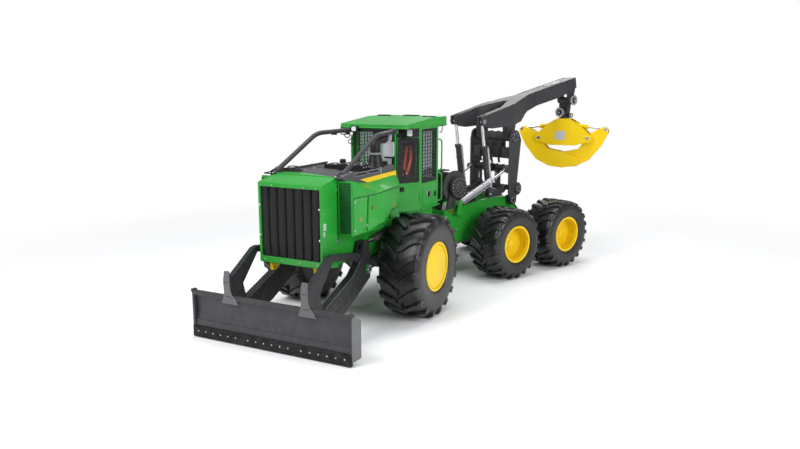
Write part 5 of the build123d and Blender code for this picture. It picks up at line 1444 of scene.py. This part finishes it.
def tilted(angle, at):
    """A matrix that leans local Z back about the X axis and moves the origin."""
    c, s = math.cos(angle), math.sin(angle)
    return np.array([[1, 0, 0, at[0]], [0, c, -s, at[1]], [0, s, c, at[2]], [0, 0, 0, 1]])


cushion = moved(channels(swell(pillow(0.475, 0.475, 0.115)), (-0.12, 0.12), (-0.06,)), tilted(0.04, (0, 1.25, 2.115)))
lean = math.atan2(0.13, 0.66)
back = moved(
    channels(swell(pillow(0.44, 0.62, 0.085)), (-0.12, 0.12), (0.1, -0.12)), tilted(math.pi / 2 - lean, (0, 1.57, 2.43))
)
seat_pad = piece("seat_cushion", cushion, cloth_material, soft=60)
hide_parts("seat")
back_pad = piece("seat_back", back, cloth_material, soft=60)
bellows_z = np.linspace(1.76, 2.045, 15)
bellows = [
    np.column_stack([round_box_outline(0.36 - 0.03 * (k % 2), 0.38 - 0.03 * (k % 2), 0.03) + (0, 1.27), np.full(16, z)])
    for k, z in enumerate(bellows_z)
]
base = merged(
    block((-0.19, 1.07, 1.722), (0.19, 1.47, 1.765)), grid_shell(np.stack(bellows)),
    block((-0.225, 1.03, 2.04), (0.225, 1.47, 2.062)),
    slab([(1.478, 2.06), (1.61, 2.06), (1.69, 2.72), (1.66, 2.72)], -0.19, 0.19),
    *[block((x - 0.03, 1.16, 2.235), (x + 0.03, 1.46, 2.275)) for x in (-0.27, 0.27)],
)
piece("seat_base", base, black, bevel=0.004)
webbing = finish("red_webbing", (0.85, 0.075, 0.012), 0.7, "seat_cloth", patches=0.08, dust=0.02, grain=900.0, bump=0.3)
band_outline = rectangle(0, 0, 0.052, 0.005)
straps = [
    swept(band_outline, smooth_line(line, 28), up=(0, 1, 0.3))
    for line in (
        [
            (0.14, 1.6, 2.81), (0.142, 1.545, 2.8), (0.15, 1.5, 2.7), (0.158, 1.44, 2.52), (0.17, 1.375, 2.33),
            (0.195, 1.33, 2.205),
        ],
        [
            (0.205, 1.6, 2.81), (0.225, 1.545, 2.805), (0.27, 1.47, 2.74), (0.31, 1.39, 2.62), (0.3, 1.33, 2.45),
            (0.262, 1.29, 2.29),
        ],
    )
]
piece("harness_straps", straps, webbing, soft=60)
buckles = merged(
    block((0.165, 1.318, 2.185), (0.225, 1.345, 2.235)), block((0.236, 1.275, 2.262), (0.29, 1.302, 2.315))
)
piece("harness_buckles", buckles, chrome, bevel=0.004)
print("cushion", triangles["seat_cushion"], "triangles")

# %% Controls
controls = [both_sides(slab(rectangle(0.37, 1.15, 0.13, 0.43, 0.03), 2.27, 2.3, axis="z"))]
for x in (-0.37, 0.37):
    controls.append(
        straight(
            (x, 1.02, 2.3), (0, -0.02, 0.06), [(0, 0.034), (0.01, 0.03), (0.02, 0.02), (0.04, 0.017), (0.06, 0.012)], 16
        )
    )
    controls.append(
        straight(
            (x, 1.005, 2.345), (0, -0.02, 0.095),
            [(0, 0.012), (0.02, 0.022), (0.06, 0.026), (0.09, 0.018), (0.095, 0.001)], 16,
        )
    )
controls.append(block((-0.3, 0.6, 2.23), (0.3, 0.72, 2.33)))
controls.append(straight((0, 0.7, 1.74), (0, 0.12, 0.62), [(0, 0.045), (0.05, 0.035), (0.6, 0.03), (0.62, 0.02)], 16))
wheel_ring = lathe(
    [(math.cos(a) * 0.012, 0.17 + math.sin(a) * 0.012) for a in np.linspace(0, 2 * math.pi, 10, endpoint=False)], 40,
    close=True,
)
controls.append(copies(upright(wheel_ring), facing([(0, 0.2, 0.98)], [(0, 0.83, 2.4)])))
controls.append(block((-0.16, 0.826, 2.392), (0.16, 0.838, 2.404)))
controls.append(block((0.24, 0.66, 2.33), (0.42, 0.7, 2.5)))
piece("cab_controls", controls, black, bevel=0.003)
print("controls", triangles["cab_controls"], "triangles")

# %% [markdown]
# ## The blade and its arms
#
# The blade is a curved mouldboard between two end plates. A black wear edge is bolted along its
# foot with eighteen flush bolts in three groups, and a thin backing strip shows as a step above it.
# A grey foot plate joins the fork of each arm to the board. The mouldboard itself stays the
# packed one. The wear edge is new, so that its corners are rounded and its bolt heads show.

# %% Wear edge and board
edge_profile = [
    (-2.787, 0.015), (-2.728, 0.015), (-2.726, 0.074), (-2.764, 0.0745), (-2.764, 0.19), (-2.772, 0.195),
    (-2.783, 0.194), (-2.787, 0.188),
]
wear_edge = piece("wear_edge", slab(edge_profile, -1.488, 1.488), edge_steel, "blade_assembly", bevel=0.003)
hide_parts("cutting_edge")
group = np.arange(6) * 0.152 - 0.38
bolt_x = np.concatenate([group - 1.0, group, group + 1.0])
edge_bolts = set_on(np.column_stack([bolt_x, np.full(18, -2.787), np.full(18, 0.112)]), -Y, upright(dome(0.014, 0.004)))
piece("edge_bolts", edge_bolts, steel, "blade_assembly")
board_step = slab(
    [(-2.751, 0.195), (-2.742, 0.245), (-2.7345, 0.292), (-2.729, 0.29), (-2.735, 0.245), (-2.744, 0.195)], -1.462,
    1.462,
)
piece("board_step", board_step, board, "blade_assembly", bevel=0.001)
top_lip = slab(
    [(-2.77, 0.7), (-2.7725, 0.74), (-2.772, 0.779), (-2.74, 0.781), (-2.725, 0.775), (-2.745, 0.74), (-2.745, 0.7)],
    -1.485, 1.485,
)
piece("board_top_lip", top_lip, dark, "blade_assembly", bevel=0.003)
cheek = finish("cheek_grey", (0.112, 0.113, 0.119), 0.45, "grey_paint", patches=0.08, dust=0.15)
end_plate = slab([(-2.766, 0.07), (-2.766, 0.776), (-2.7, 0.745), (-2.512, 0.652), (-2.512, 0.07)], 1.4895, 1.5)
inner_post = slab([(-2.768, 0.2), (-2.766, 0.775), (-2.7, 0.745), (-2.7, 0.25)], 1.452, 1.466)
piece("end_plates", both_sides(end_plate), cheek, "blade_assembly", bevel=0.004)
piece("end_posts", both_sides(inner_post), dark, "blade_assembly", bevel=0.003)
pads = both_sides(
    merged(block((1.44, -2.785, 0.77), (1.503, -2.7, 0.797)), block((1.47, -2.78, 0.74), (1.504, -2.69, 0.775)))
)
piece("corner_pads", pads, dark, "blade_assembly", bevel=0.006)
print("wear edge bolts", len(bolt_x))

# %% Foot plates of the forks
foot_line = np.array(
    [
        (-2.764, 0.64, 0.165), (-2.774, 0.735, 0.12), (-2.8, 0.79, 0.083), (-2.812, 0.85, 0.066), (-2.8225, 0.92, 0.06),
        (-2.8295, 0.998, 0.062), (-2.8225, 1.085, 0.058), (-2.8065, 1.175, 0.05),
    ]
)
foot_plates = []
for x in (-0.725, 0.725):
    y, z, half = foot_line.T
    front = np.stack([np.stack([x + s * half, y, z], axis=-1) for s in (-1, 1)], axis=1)
    back = front[:, ::-1] + (0, 0.014, 0)
    foot_plates.append(grid_shell(np.concatenate([front, back], axis=1)))
piece("fork_feet", foot_plates, cheek, "blade_assembly", bevel=0.003)
arm_top = [(-2.35, 0.672), (-1.95, 0.832), (-1.56, 0.992), (-1.33, 1.202)]
# Lighter grey strips along the arms' top edges: painted highlight where the edges catch the light.
edges = [swept(round_box_outline(0.01, 0.008, 0.003), at_x(x, arm_top), up=X) for x in (0.663, 0.787)]
web = merged(
    slab([(-2.3, 0.655), (-1.58, 0.955), (-1.6, 0.925), (-2.3, 0.63)], 0.7905, 0.796),
    slab([(-2.34, 0.42), (-1.8, 0.585), (-1.8, 0.612), (-2.34, 0.45)], 0.7905, 0.796),
)
piece("arm_edge_highlights", both_sides(edges), cheek, "blade_assembly")
piece("arm_webs", both_sides(web), arm_black, "blade_assembly", bevel=0.003)
BLADE_PIN = (-1.1, 1.02)
cover = straight((0.815, *BLADE_PIN), X, button(0.078, 0.014, cut=0.004), 32)
cover_bolts = bolts(on_circle((0.829, *BLADE_PIN), 0.055, 6), X, 0.01, 0.008)
piece("blade_pin_covers", both_sides(cover), dark)
piece("blade_pin_bolts", both_sides(cover_bolts), steel)
print("fork feet", triangles["fork_feet"], "triangles")

# %% [markdown]
# ## Cylinders
#
# A hydraulic cylinder is a barrel with a screwed gland at its mouth, a polished rod, a steel pipe
# that feeds the gland end along the barrel, and hoses at its foot. Each pair is packed as plain
# barrels and rods. One function adds the gland, the bands, the pipe and the pin ends to any pair,
# from the two pins' places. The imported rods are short, so longer bars inside the barrels ride on
# them and keep the gap closed when the cylinders are far out.

# %% Cylinder trim


def cylinder_trim(base, rod_pin, x, radius, barrel, pin_x, pipe_r=0.011):
    """Bands, gland and feed pipe along the line from the base pin to the rod pin, at -x and x."""
    base, rod_pin = np.array([0, *base]), np.array([0, *rod_pin])
    along = unit(rod_pin - base)
    out = np.cross(along, X)
    bands, pipes, ends = [], [], []
    for side in (-x, x):
        at = base + (side, 0, 0)
        for start, height, swell_r in (
            (0.115, 0.03, 0.006), (barrel * 0.42, 0.022, 0.004), (barrel * 0.72, 0.022, 0.004)
        ):
            r = radius - 0.002
            top = r + swell_r
            ring = [(0, r), (0, top - 0.002), (0.003, top), (height - 0.003, top), (height, top - 0.002), (height, r)]
            bands.append(straight(at + along * start, along, ring, 28, close=True))
        gland = [
            (0, radius + 0.0005), (0, radius + 0.004), (0.004, radius + 0.007), (0.06, radius + 0.007),
            (0.07, radius + 0.001), (0.072, radius * 0.62), (0.072, radius * 0.575), (0.0685, radius * 0.575),
            (0.0685, radius + SHUT),
        ]
        # the gland runs forward on a barrel shorter than 1.068 m, and back on a longer one
        bands.append(straight(at + along * (barrel - 0.068), along * (1.068 - barrel), gland, 28, close=True))
        offset = out * (radius + 0.009 + pipe_r)
        pipe = [
            at + along * 0.13 + out * (radius * 0.7 + pipe_r / 2), at + along * 0.16 + offset,
            at + along * 0.24 + offset, at + along * (barrel * 0.55) + offset, at + along * (barrel - 0.1) + offset,
            at + along * (barrel - 0.05) + out * (radius * 0.8 + pipe_r / 2),
        ]
        pipes.append(tube(pipe, pipe_r, 40, 12, up=X))
        sign = 1 if side > 0 else -1
        ends.append(straight(at + (sign * pin_x, 0, 0), (sign, 0, 0), button(0.024, 0.015, cut=0.003), 18))
    return merged(*bands), merged(*pipes), merged(*ends)


FORK_PIN = (3.76, 3.22)  # y and z of the boom's front pin
# the pins of a cylinder's barrel and rod, and its x
ARCH_CYLINDER = ((2.96, 1.56), (4.41, 2.16), 0.525)
BOOM_CYLINDER = ((4.0, 1.65), FORK_PIN, 0.4)
bands, pipes, ends = cylinder_trim((-0.15, 1.5), (-1.13, 1.43), 0.715, 0.048, 0.62, pin_x=0.026)
piece("blade_barrel_bands", bands, dark, "blade_barrels")
piece("blade_barrel_pipes", pipes, black, "blade_barrels")
bands, pipes, ends = cylinder_trim(*ARCH_CYLINDER, 0.066, 1.08, pin_x=0.067, pipe_r=0.014)
piece("arch_barrel_bands", bands, silver, "arch_barrels")
piece("arch_barrel_pipes", pipes, chrome, "arch_barrels")
piece("arch_pin_ends", ends, steel, "rear_frame")
bands, pipes, ends = cylinder_trim(*BOOM_CYLINDER, 0.062, 1.06, pin_x=0.061, pipe_r=0.03)
piece("boom_barrel_bands", bands, dark, "boom_barrels")
piece("boom_barrel_pipes", pipes, silver, "boom_barrels", slot="bare_steel")
piece("boom_foot_pins", ends, steel, "arch")


def rod_cores(base, rod_pin, x, start, stop, radius):
    """Round bars inside the barrels, from start to stop along the line between the pins."""
    base, rod_pin = np.array([x, *base]), np.array([x, *rod_pin])
    along = unit(rod_pin - base)
    return both_sides(
        straight(base + along * start, along, [(0, radius - 0.002), (0.002, radius), (stop - start, radius)], 32)
    )


piece("arch_rod_cores", rod_cores(*ARCH_CYLINDER, 0.2, 0.965, 0.0318), chrome, "arch_rods")
piece("boom_rod_cores", rod_cores(*BOOM_CYLINDER, 0.3, 0.945, 0.0338), chrome, "boom_rods")
print("arch barrel bands", triangles["arch_barrel_bands"], "triangles")

# %% [markdown]
# ## The waist and the rear frame
#
# The rear frame is two green side plates with a flange along their top. Between them is the winch,
# whose gearboxes are bolted discs with toothed rims. The rope lies in layers on the drum, turn
# beside turn, so its outline is a row of small bumps. A true helix would cost many faces for the
# same look, so the rope is a lathe of that bumpy outline.

# %% Rear frame plates
top_line = [(2.62, 1.42), (3.91, 1.56), (4.48, 1.56), (4.72, 1.44), (4.9, 1.25)]
flange = swept(rectangle(0, -0.0085, 0.018, 0.087), at_x(0.44, top_line), up=X)
foot_line_rear = [(2.64, 0.775), (3.04, 0.715), (3.53, 0.755), (4.08, 0.91)]
stiffener = swept(rectangle(0, 0, 0.016, 0.024), at_x(0.452, foot_line_rear), up=X)
patches = slab([(2.66, 0.95), (2.66, 1.36), (3.02, 1.39), (3.16, 1.1), (3.02, 0.95)], 0.4495, 0.458)
piece("rear_flanges", both_sides([flange, stiffener, patches]), green, "rear_frame", bevel=0.002)
frame_bolts = [(0.458, y, z) for y, z in ((2.7, 1.0), (2.7, 1.15), (2.7, 1.3), (2.98, 1.33), (3.08, 1.12), (2.98, 1.0))]
piece("rear_frame_bolts", both_sides(bolts(frame_bolts, X, 0.012, 0.009)), steel, "rear_frame")
marker = both_sides(slab(rectangle(2.82, 1.405, 0.09, 0.035, 0.008), 0.4635, 0.476))
red_lens = finish(
    "red_lens", (0.55, 0.012, 0.008), 0.15, "clear_glass", patches=0.02, dust=0.0, grain=80.0, bump=0.2, round_edge=0,
    Coat_Weight=0.8,
)
piece("side_markers", marker, red_lens, "rear_frame", bevel=0.003)
print("rear frame bolts", len(frame_bolts) * 2)

# %% Winch
WINCH = (2.98, 1.9)
WINCH_PLACE = REAR @ turn_and_move(0, (0, *WINCH))
bump_count = 19
s = np.linspace(0, bump_count * math.pi, bump_count * 6 + 1)
rope_x = np.linspace(-0.368, 0.368, len(s))
rope_profile = np.stack([rope_x, 0.268 + 0.017 * np.abs(np.sin(s))], axis=-1)
rope = lathe(np.vstack([[(-0.3695, 0.17)], rope_profile, [(0.3695, 0.17)]]), 40, close=True)
rims = [lathe(collar(0.3295, 0.336, 0.03, x), 48, close=True) for x in (-0.4, 0.37)]
piece("winch_rope", rope, edge_steel, "winch_drum", WINCH_PLACE, slot="bare_steel")
piece("drum_rims", rims, casting, "winch_drum", WINCH_PLACE)
tooth = block((0.0, -0.011, 0.0), (0.05, 0.011, 0.012))
teeth = copies(tooth, ring_of(36, 0.214, 0.455))
gear_ring = lathe([(0.452, 0.2), (0.452, 0.2155), (0.505, 0.2155), (0.512, 0.208), (0.512, 0.2)], 72, close=True)
face = lathe(
    [(0.5295, 0.175), (0.536, 0.172), (0.536, 0.12), (0.545, 0.112), (0.56, 0.088), (0.566, 0.07), (0.566, SHUT)], 48
)
spokes = copies(block((0.529, -0.008, 0.0), (0.541, 0.008, 0.055)), ring_of(8, 0.118, 0.0))
piece("winch_gears", both_sides([gear_ring, teeth, face, spokes]), dark, "rear_frame", WINCH_PLACE)
gear_bolts = merged(
    copies(nut(0.011, 0.01), ring_of(16, 0.19, 0.53)), copies(nut(0.009, 0.008), ring_of(8, 0.1, 0.548))
)
piece("winch_bolts", both_sides(gear_bolts), steel, "rear_frame", WINCH_PLACE)
hose_line = np.array(
    [
        (0.3, 2.66, 1.4), (0.31, 2.72, 1.62), (0.32, 2.66, 1.86), (0.28, 2.6, 2.02), (0.24, 2.63, 2.16),
        (0.25, 2.76, 2.24), (0.3, 2.9, 2.245),
    ]
)
deck_hoses = [tube(hose_line - (0.045 * k, 0, 0), 0.016, 48, 10, up=X) for k in range(4)]
piece("winch_hoses", deck_hoses, black, "rear_frame")
valve = merged(
    block((-0.24, 3.42, 1.44), (0.24, 3.66, 1.66)),
    *[
        straight((x, 3.54, 1.655), Z, [(0, 0.03), (0.03, 0.03), (0.035, 0.018), (0.075, 0.018), (0.078, 0.001)], 14)
        for x in (-0.18, -0.09, 0.0, 0.09, 0.18)
    ],
)
piece("valve_block", valve, dark, "rear_frame", bevel=0.004)
side_valve = merged(
    block((0.33, 3.2, 1.48), (0.405, 3.62, 1.6)),
    *[
        tube(
            [
                (0.36, 3.24 + 0.09 * k, 1.6), (0.36, 3.24 + 0.09 * k, 1.66), (0.34, 3.3 + 0.08 * k, 1.7),
                (0.28, 3.45 + 0.06 * k, 1.69),
            ],
            0.013, 20, 8, up=X,
        )
        for k in range(4)
    ],
)
piece("side_valve", side_valve, black, "rear_frame", bevel=0.003)
piece(
    "valve_bolts", bolts([(x, 3.45, 1.66) for x in (-0.2, -0.1, 0.0, 0.1, 0.2)], Z, 0.008, 0.007), steel, "rear_frame"
)
print("winch gears", triangles["winch_gears"], "triangles")

# %% [markdown]
# ## The arch
#
# The arch is two tall side plates joined by tubes. Round pin covers with bolts close its pins,
# and three bright upright rollers in a frame near its foot guide the rope. Hoses for the boom run
# up between the plates. A hose is a smooth curve through a few points, so they can be bundled by
# moving one line a little each time.

# %% Pin covers, painted edge highlights and rollers
LOWER_BAR = (4.714, 1.723)  # y and z of the tube near the foot
ARCH_FACE = 0.6  # x of the side plates
covers, cover_bolts = [], []
for y, z, r, depth in (
    (4.61, 2.87, 0.12, 0.014), (4.6, 1.48, 0.085, 0.01), (*LOWER_BAR, 0.085, 0.045), (4.41, 2.16, 0.055, 0.012)
):
    covers.append(straight((ARCH_FACE, y, z), X, button(r, depth, -0.001, cut=0.004), 40))
    if r > 0.06:
        cover_bolts.append(on_circle((ARCH_FACE + depth, y, z), 0.7 * r, 6, turn=0.3))
piece("arch_pin_covers", both_sides(covers), dark, "arch")
piece("arch_pin_bolts", both_sides(bolts(np.vstack(cover_bolts), X, 0.009, 0.007)), steel, "arch")
lower_bar = straight((0.47, *LOWER_BAR), X, [(0, 0.05), (0.09, 0.05), (0.091, 0.042)], 28)
piece("arch_lower_bars", both_sides(lower_bar), steel, "arch", slot="bare_steel")
edge_line = [(4.452, 1.665), (4.449, 2.1), (4.446, 2.81)]
back_line = [(4.706, 1.925), (4.752, 2.35), (4.803, 2.805)]
# Lighter grey strips along the plates' front and back edges: painted highlight where the edges catch the light.
arch_edge_highlight_strips = [swept(round_box_outline(0.012, 0.008, 0.003), at_x(0.597, line), up=X) for line in (edge_line, back_line)]
piece("arch_edge_highlights", both_sides(arch_edge_highlight_strips), grey, "arch")
rollers = []
for x in (-0.12, 0.12):
    rollers.append(
        straight(
            (x, 4.56, 1.8205), Z,
            [(0, 0.0405), (0, 0.044), (0.004, 0.046), (0.285, 0.046), (0.289, 0.044), (0.289, 0.0405)], 24,
        )
    )
rollers.append(straight((0.0, 4.47, 1.7), Z, [(0, 0.02), (0.4, 0.02), (0.4, SHUT)], 20))
piece("fairlead_sleeves", rollers, chrome, "arch")
brace_bars = ((-0.3, 0.3, 1.665, 1.705), (-0.3, 0.3, 2.095, 2.13), (-0.3, -0.26, 1.665, 2.13), (0.26, 0.3, 1.665, 2.13))
brace = merged(
    *[block((x0, 4.44, z0), (x1, 4.5, z1)) for x0, x1, z0, z1 in brace_bars],
    *[block((x - 0.02, 4.46, 1.7), (x + 0.02, 4.54, 1.74)) for x in (-0.2, 0.2)],
)
piece("fairlead_frame", brace, dark, "arch", bevel=0.004)
print("arch covers", triangles["arch_pin_covers"], "triangles")

# %% Arch hoses and collars
bundle = []
for k in range(7):
    x = -0.12 + 0.036 * k
    bulge = 0.03 * math.sin(k * 2.1)
    bundle.append(
        tube(
            [
                (x, 4.47, 2.78), (x + bulge, 4.405 - 0.01 * k, 2.62), (x + 0.5 * bulge, 4.415, 2.42),
                (x - bulge, 4.44, 2.26), (x * 0.8, 4.42, 2.14 - 0.01 * k), (x * 0.8, 4.43, 2.1),
            ],
            0.015, 48, 10, up=X,
        )
    )
piece("arch_hoses", bundle, black, "arch")
clamp = merged(block((-0.16, 4.385, 2.44), (0.14, 4.475, 2.475)), block((-0.16, 4.385, 2.24), (0.14, 4.475, 2.27)))
piece("hose_clamps", clamp, dark, "arch", bevel=0.003)
side_lines = [
    tube([(x, 4.6, 2.76), (x, 4.48, 2.66), (x - 0.01, 4.455, 2.45), (x, 4.462, 2.3)], 0.014, 30, 10, up=X)
    for x in (0.26, 0.29, -0.26, -0.29)
]
piece("side_hoses", side_lines, black, "arch")
drum_caps = [
    straight((x, 4.56, 2.18), (s, 0, 0), collar(0.0705, 0.082, 0.025), 28)
    for x, s in ((0.3, 1), (-0.3, -1), (0.12, 1), (-0.12, -1))
]
piece("cross_tube_collars", drum_caps, dark, "arch")
top_collars = [
    straight(
        (x, 4.61, 2.87), X, [(0, 0.1005), (0, 0.112), (0.004, 0.115), (0.036, 0.115), (0.04, 0.112), (0.04, 0.1005)], 36
    )
    for x in (-0.29, -0.12, 0.08, 0.25)
]
piece("top_tube_collars", top_collars, dark, "arch")
print("arch hoses", triangles["arch_hoses"], "triangles")

# %% [markdown]
# ## The boom
#
# The boom is a box of dark plate, open as a fork towards the front. Its pins show as bright discs
# at the fork's tips. Long weld beads run along its lower edges, and lighter grey strips along its
# top edges are painted highlight. On its top, near the tip, lies a grey access plate with a black
# patch, painted shade for a recess.

# %% Boom trim
fork_end = straight((0.475, *FORK_PIN), X, button(0.052, 0.011, -0.001, cut=0.003), 28)
piece("fork_pin_ends", both_sides(fork_end), steel, "boom")
fork_pad = straight((0.475, *FORK_PIN), X, button(0.09, 0.006, -0.001, bore=0.05), 36)
piece("fork_pads", both_sides(fork_pad), dark, "boom")
pin_bar = straight((0.346, *FORK_PIN), X, [(0, 0.026), (0.108, 0.026)], 20)
piece("fork_pins", both_sides(pin_bar), steel, "boom")


def boom_z(y):
    """Height of the boom's top edge: straight runs between its corners."""
    return np.interp(y, (4.65, 5.81, 7.25), (3.57, 3.84, 4.16))


def on_top(x, y, lift=0.0):
    """Points on the boom's top."""
    x, y = np.broadcast_arrays(np.asarray(x, float), np.asarray(y, float))
    return np.stack([x, y, boom_z(y) + lift], axis=-1)


def top_plate(half, start, end, lift, depth):
    """A thin plate on the boom's top: four corners lifted off it, and the same four lower by depth."""
    rows = on_top([[-half, half]] * 2, [[start, start], [end, end]], lift)
    return grid_shell(np.concatenate([rows, rows[:, ::-1] - (0, 0, depth)], axis=1))


piece("boom_top_plate", top_plate(0.11, 6.35, 6.8, 0.006, 0.008), cheek, "boom", bevel=0.002)
# A flat black patch on the access plate: painted shade for a recess.
piece("boom_top_recess_painted_shade", top_plate(0.05, 6.45, 6.58, 0.0085, 0.004), black, "boom")
# Lighter grey strips along the top edges: painted highlight.
top_edge = swept(round_box_outline(0.01, 0.01, 0.003), on_top(0.172, [5.52, 5.81, 6.5, 7.24]), up=Z)
piece("boom_top_edge_highlights", both_sides(top_edge), grey, "boom")
low_edge = [(0.1765, 5.55, 3.425), (0.1765, 5.82, 3.523), (0.1765, 6.59, 3.683), (0.1765, 7.1, 3.838)]
piece("boom_welds", both_sides(swept(circle(0.007, 8), low_edge, up=X)), dark, "boom")
seam_plate = both_sides(slab([(5.6, 3.48), (5.63, 3.48), (5.8, 3.82), (5.77, 3.82)], 0.1745, 0.1785))
piece("boom_seams", seam_plate, dark, "boom")
tip_pins = straight((0.175, 7.1, 3.62), X, [(-0.001, 0.06), (0.004, 0.06), (0.004, 0.037)], 28)
piece("tip_bosses", both_sides(tip_pins), dark, "boom")
print("boom trim", len([n for n in triangles if n.startswith("boom_")]), "pieces")

# %% [markdown]
# ## The grapple
#
# The grapple hangs from a crosshead with a brake disc on each of its two pins, so that it swings
# both ways without banging. The discs are bright rings with dark middles. The yellow head carries a
# blank silver plate, silver pins and short hoses to the two small cylinders. It is drawn square to
# its own axes and carried by one more matrix, the boom tip turned about the rotator.

# %% Crosshead discs and hoses
SIDE_PIN_Z, FRONT_PIN_Z = 3.62, 3.33
rings, middles, nuts = [], [], []
for at, normal, back, face in (((0.18, 0, SIDE_PIN_Z), X, 0.07, 0.0855), ((0, -0.125, FRONT_PIN_Z), -Y, 0.066, 0.0805)):
    ring = [(back, 0.101), (back, 0.122), (back + 0.018, 0.122), (back + 0.022, 0.116), (back + 0.022, 0.074)]
    rings.append(straight(at, normal, ring + [(back + 0.019, 0.07), (face, 0.07)], 40))
    middles.append(straight(at, normal, [(face, 0.071), (back + 0.0165, 0.069), (back + 0.0165, SHUT)], 32))
    nuts.append(straight(at, normal, button(0.03, back + 0.037, back + 0.016, 0.003, 0.006), 6))
side_bolts = bolts(on_circle((0.272, 0, SIDE_PIN_Z), 0.096, 8), X, 0.006, 0.005)
front_bolts = bolts(on_circle((0, -0.213, FRONT_PIN_Z), 0.096, 8, axis=1), -Y, 0.006, 0.005)
piece("brake_rings", rings + nuts, steel, "crosshead")
piece("brake_middles", middles, black, "crosshead")
piece("brake_bolts", [side_bolts, front_bolts], steel, "crosshead")
ring_edges = merged(
    straight((0.185, 0, SIDE_PIN_Z), X, collar(0.1005, 0.104, 0.012), 40),
    straight((0, -0.13, FRONT_PIN_Z), -Y, collar(0.1005, 0.104, 0.012), 40),
    *[block((x - 0.006, -0.064, 3.4), (x + 0.006, 0.064, 3.55)) for x in (-0.121, 0.121)],
)
piece("crosshead_ribs", ring_edges, dark, "crosshead", bevel=0.002)
link_hoses = [
    tube([(x, 0.13, 3.3), (x * 1.3, 0.175, 3.27), (x * 1.2, 0.18, 3.225), (x, 0.13, 3.207)], 0.012, 30, 10, up=X)
    for x in (-0.085, -0.04, 0.04, 0.085)
]
piece("link_hoses", link_hoses, black, "swing_link")
link_plates = [
    straight((x, y, 3.33), (0, s, 0), button(0.045, 0.008, -0.001, inset=0.003, bore=0.036), 28)
    for x, y, s in ((0, -0.12, -1), (0, 0.12, 1))
]
piece("link_bosses", link_plates, dark, "swing_link")
print("crosshead discs done")

# %% Head plate, pins and flanges
blank = slab(rectangle(-0.065, 2.78, 0.235, 0.205, 0.012), -0.2385, -0.2345, axis="y")
plate_finish = finish(
    "brushed_plate", (0.6, 0.6, 0.63), 0.34, "bright_steel", patches=0.04, dust=0.0, grain=500.0, bump=0.1, Metallic=0.6
)
piece("head_plate", blank, plate_finish, "grapple_head", bevel=0.001)
TONG_PINS = ((-0.585, 2.72), (0.585, 2.72))
LUG_X, LUG_Z = 1.0, 2.93  # where the rods hold the tongs
BARREL_X, BARREL_Z = 0.12, 3.04  # where the barrels hang in the head
pin_heads, pads = [], []
for u, z in TONG_PINS:
    for v in (-1, 1):
        pin_heads.append(straight((u, 0.235 * v, z), (0, v, 0), button(0.042, 0.009, -0.001, cut=0.003), 24))
        pads.append(straight((u, 0.235 * v, z), (0, v, 0), button(0.075, 0.006, -0.001, bore=0.043), 32))
for u in (-BARREL_X, BARREL_X):
    for v in (-1, 1):
        pin_heads.append(straight((u, 0.08 * v, BARREL_Z), (0, v, 0), button(0.03, 0.012), 18))
piece("head_pins", pin_heads, steel, "grapple_head")
piece("head_pin_pads", pads, yellow, "grapple_head")
keeper_bolts = [(u + du, -0.235, z) for u, z in TONG_PINS for du in (-0.06, 0.06)]
piece("head_bolts", bolts(keeper_bolts, -Y, 0.008, 0.006), steel, "grapple_head")
ridge = [block((-0.15, v - 0.01, 3.178), (0.15, v + 0.01, 3.1865)) for v in (-0.22, 0.22)]
sloped = [
    swept(rectangle(0, 0, 0.044, 0.008), [(side * 0.15, v, 3.181), (side * 0.33, v, 3.081), (side * 0.645, v, 2.797)])
    for side in (-1, 1)
    for v in (-0.22, 0.22)
]
braces = [block((x - 0.012, y, 2.95), (x + 0.012, y + 0.104, 3.06)) for y in (-0.204, 0.1) for x in (-0.34, 0.34)]
piece("head_flanges", [*ridge, *sloped, *braces], yellow, "grapple_head", bevel=0.002)
for name, side in (("left", 1), ("right", -1)):
    barrel_hoses = [
        tube(
            [
                (side * 0.07, v, 3.12), (side * 0.15, v * 1.5, 3.15), (side * 0.23, v * 1.6, 3.13),
                (side * 0.27, v, 3.085),
            ],
            0.01, 26, 8, up=Y,
        )
        for v in (-0.035, 0.035)
    ]
    piece(f"barrel_hoses_{name}", barrel_hoses, black, f"grapple_barrel_{name}")
for name, side in (("left", 1), ("right", -1)):
    base, lug = np.array([side * BARREL_X, 0, BARREL_Z]), np.array([side * LUG_X, 0, LUG_Z])
    along = unit(lug - base)
    glands = [
        straight(
            base + along * 0.4, along,
            [
                (0, 0.0485), (0, 0.052), (0.004, 0.055), (0.062, 0.055), (0.068, 0.05), (0.07, 0.032), (0.07, 0.0285),
                (0.0665, 0.0285), (0.0665, 0.047), (0, 0.047),
            ],
            28, close=True,
        ),
        straight(base + along * 0.1, along, collar(0.047, 0.052, 0.024), 28, close=True),
    ]
    piece(f"grapple_glands_{name}", glands, yellow, f"grapple_barrel_{name}", slot="dark_paint")
    lug_pin = [straight((lug[0], 0.046 * v, lug[2]), (0, v, 0), button(0.024, 0.012), 18) for v in (-1, 1)]
    piece(f"grapple_rod_pins_{name}", lug_pin, steel, f"grapple_rod_{name}")
print("head", triangles["head_flanges"], "triangles")

# %% Tong pins and pads
for name, side in (("left", 1), ("right", -1)):
    lug_plates = []
    for v in ((-0.1105, 0.1105) if name == "left" else (-0.1955, 0.1955)):
        lug_plates.append(straight((side * LUG_X, v, LUG_Z), (0, v, 0), button(0.04, 0.006, -0.001), 24))
    piece(f"tong_pins_{name}", lug_plates, steel, f"tong_{name}")
    v = 0.1 if name == "left" else 0.19
    tip_pad = block((side * 1.0655 - 0.004, -v * 0.75, 2.845), (side * 1.0655 + 0.004, v * 0.75, 2.925))
    piece(f"tong_pads_{name}", tip_pad, black, f"tong_{name}", bevel=0.002)
print("tong trim done")

# %% Close
low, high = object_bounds()
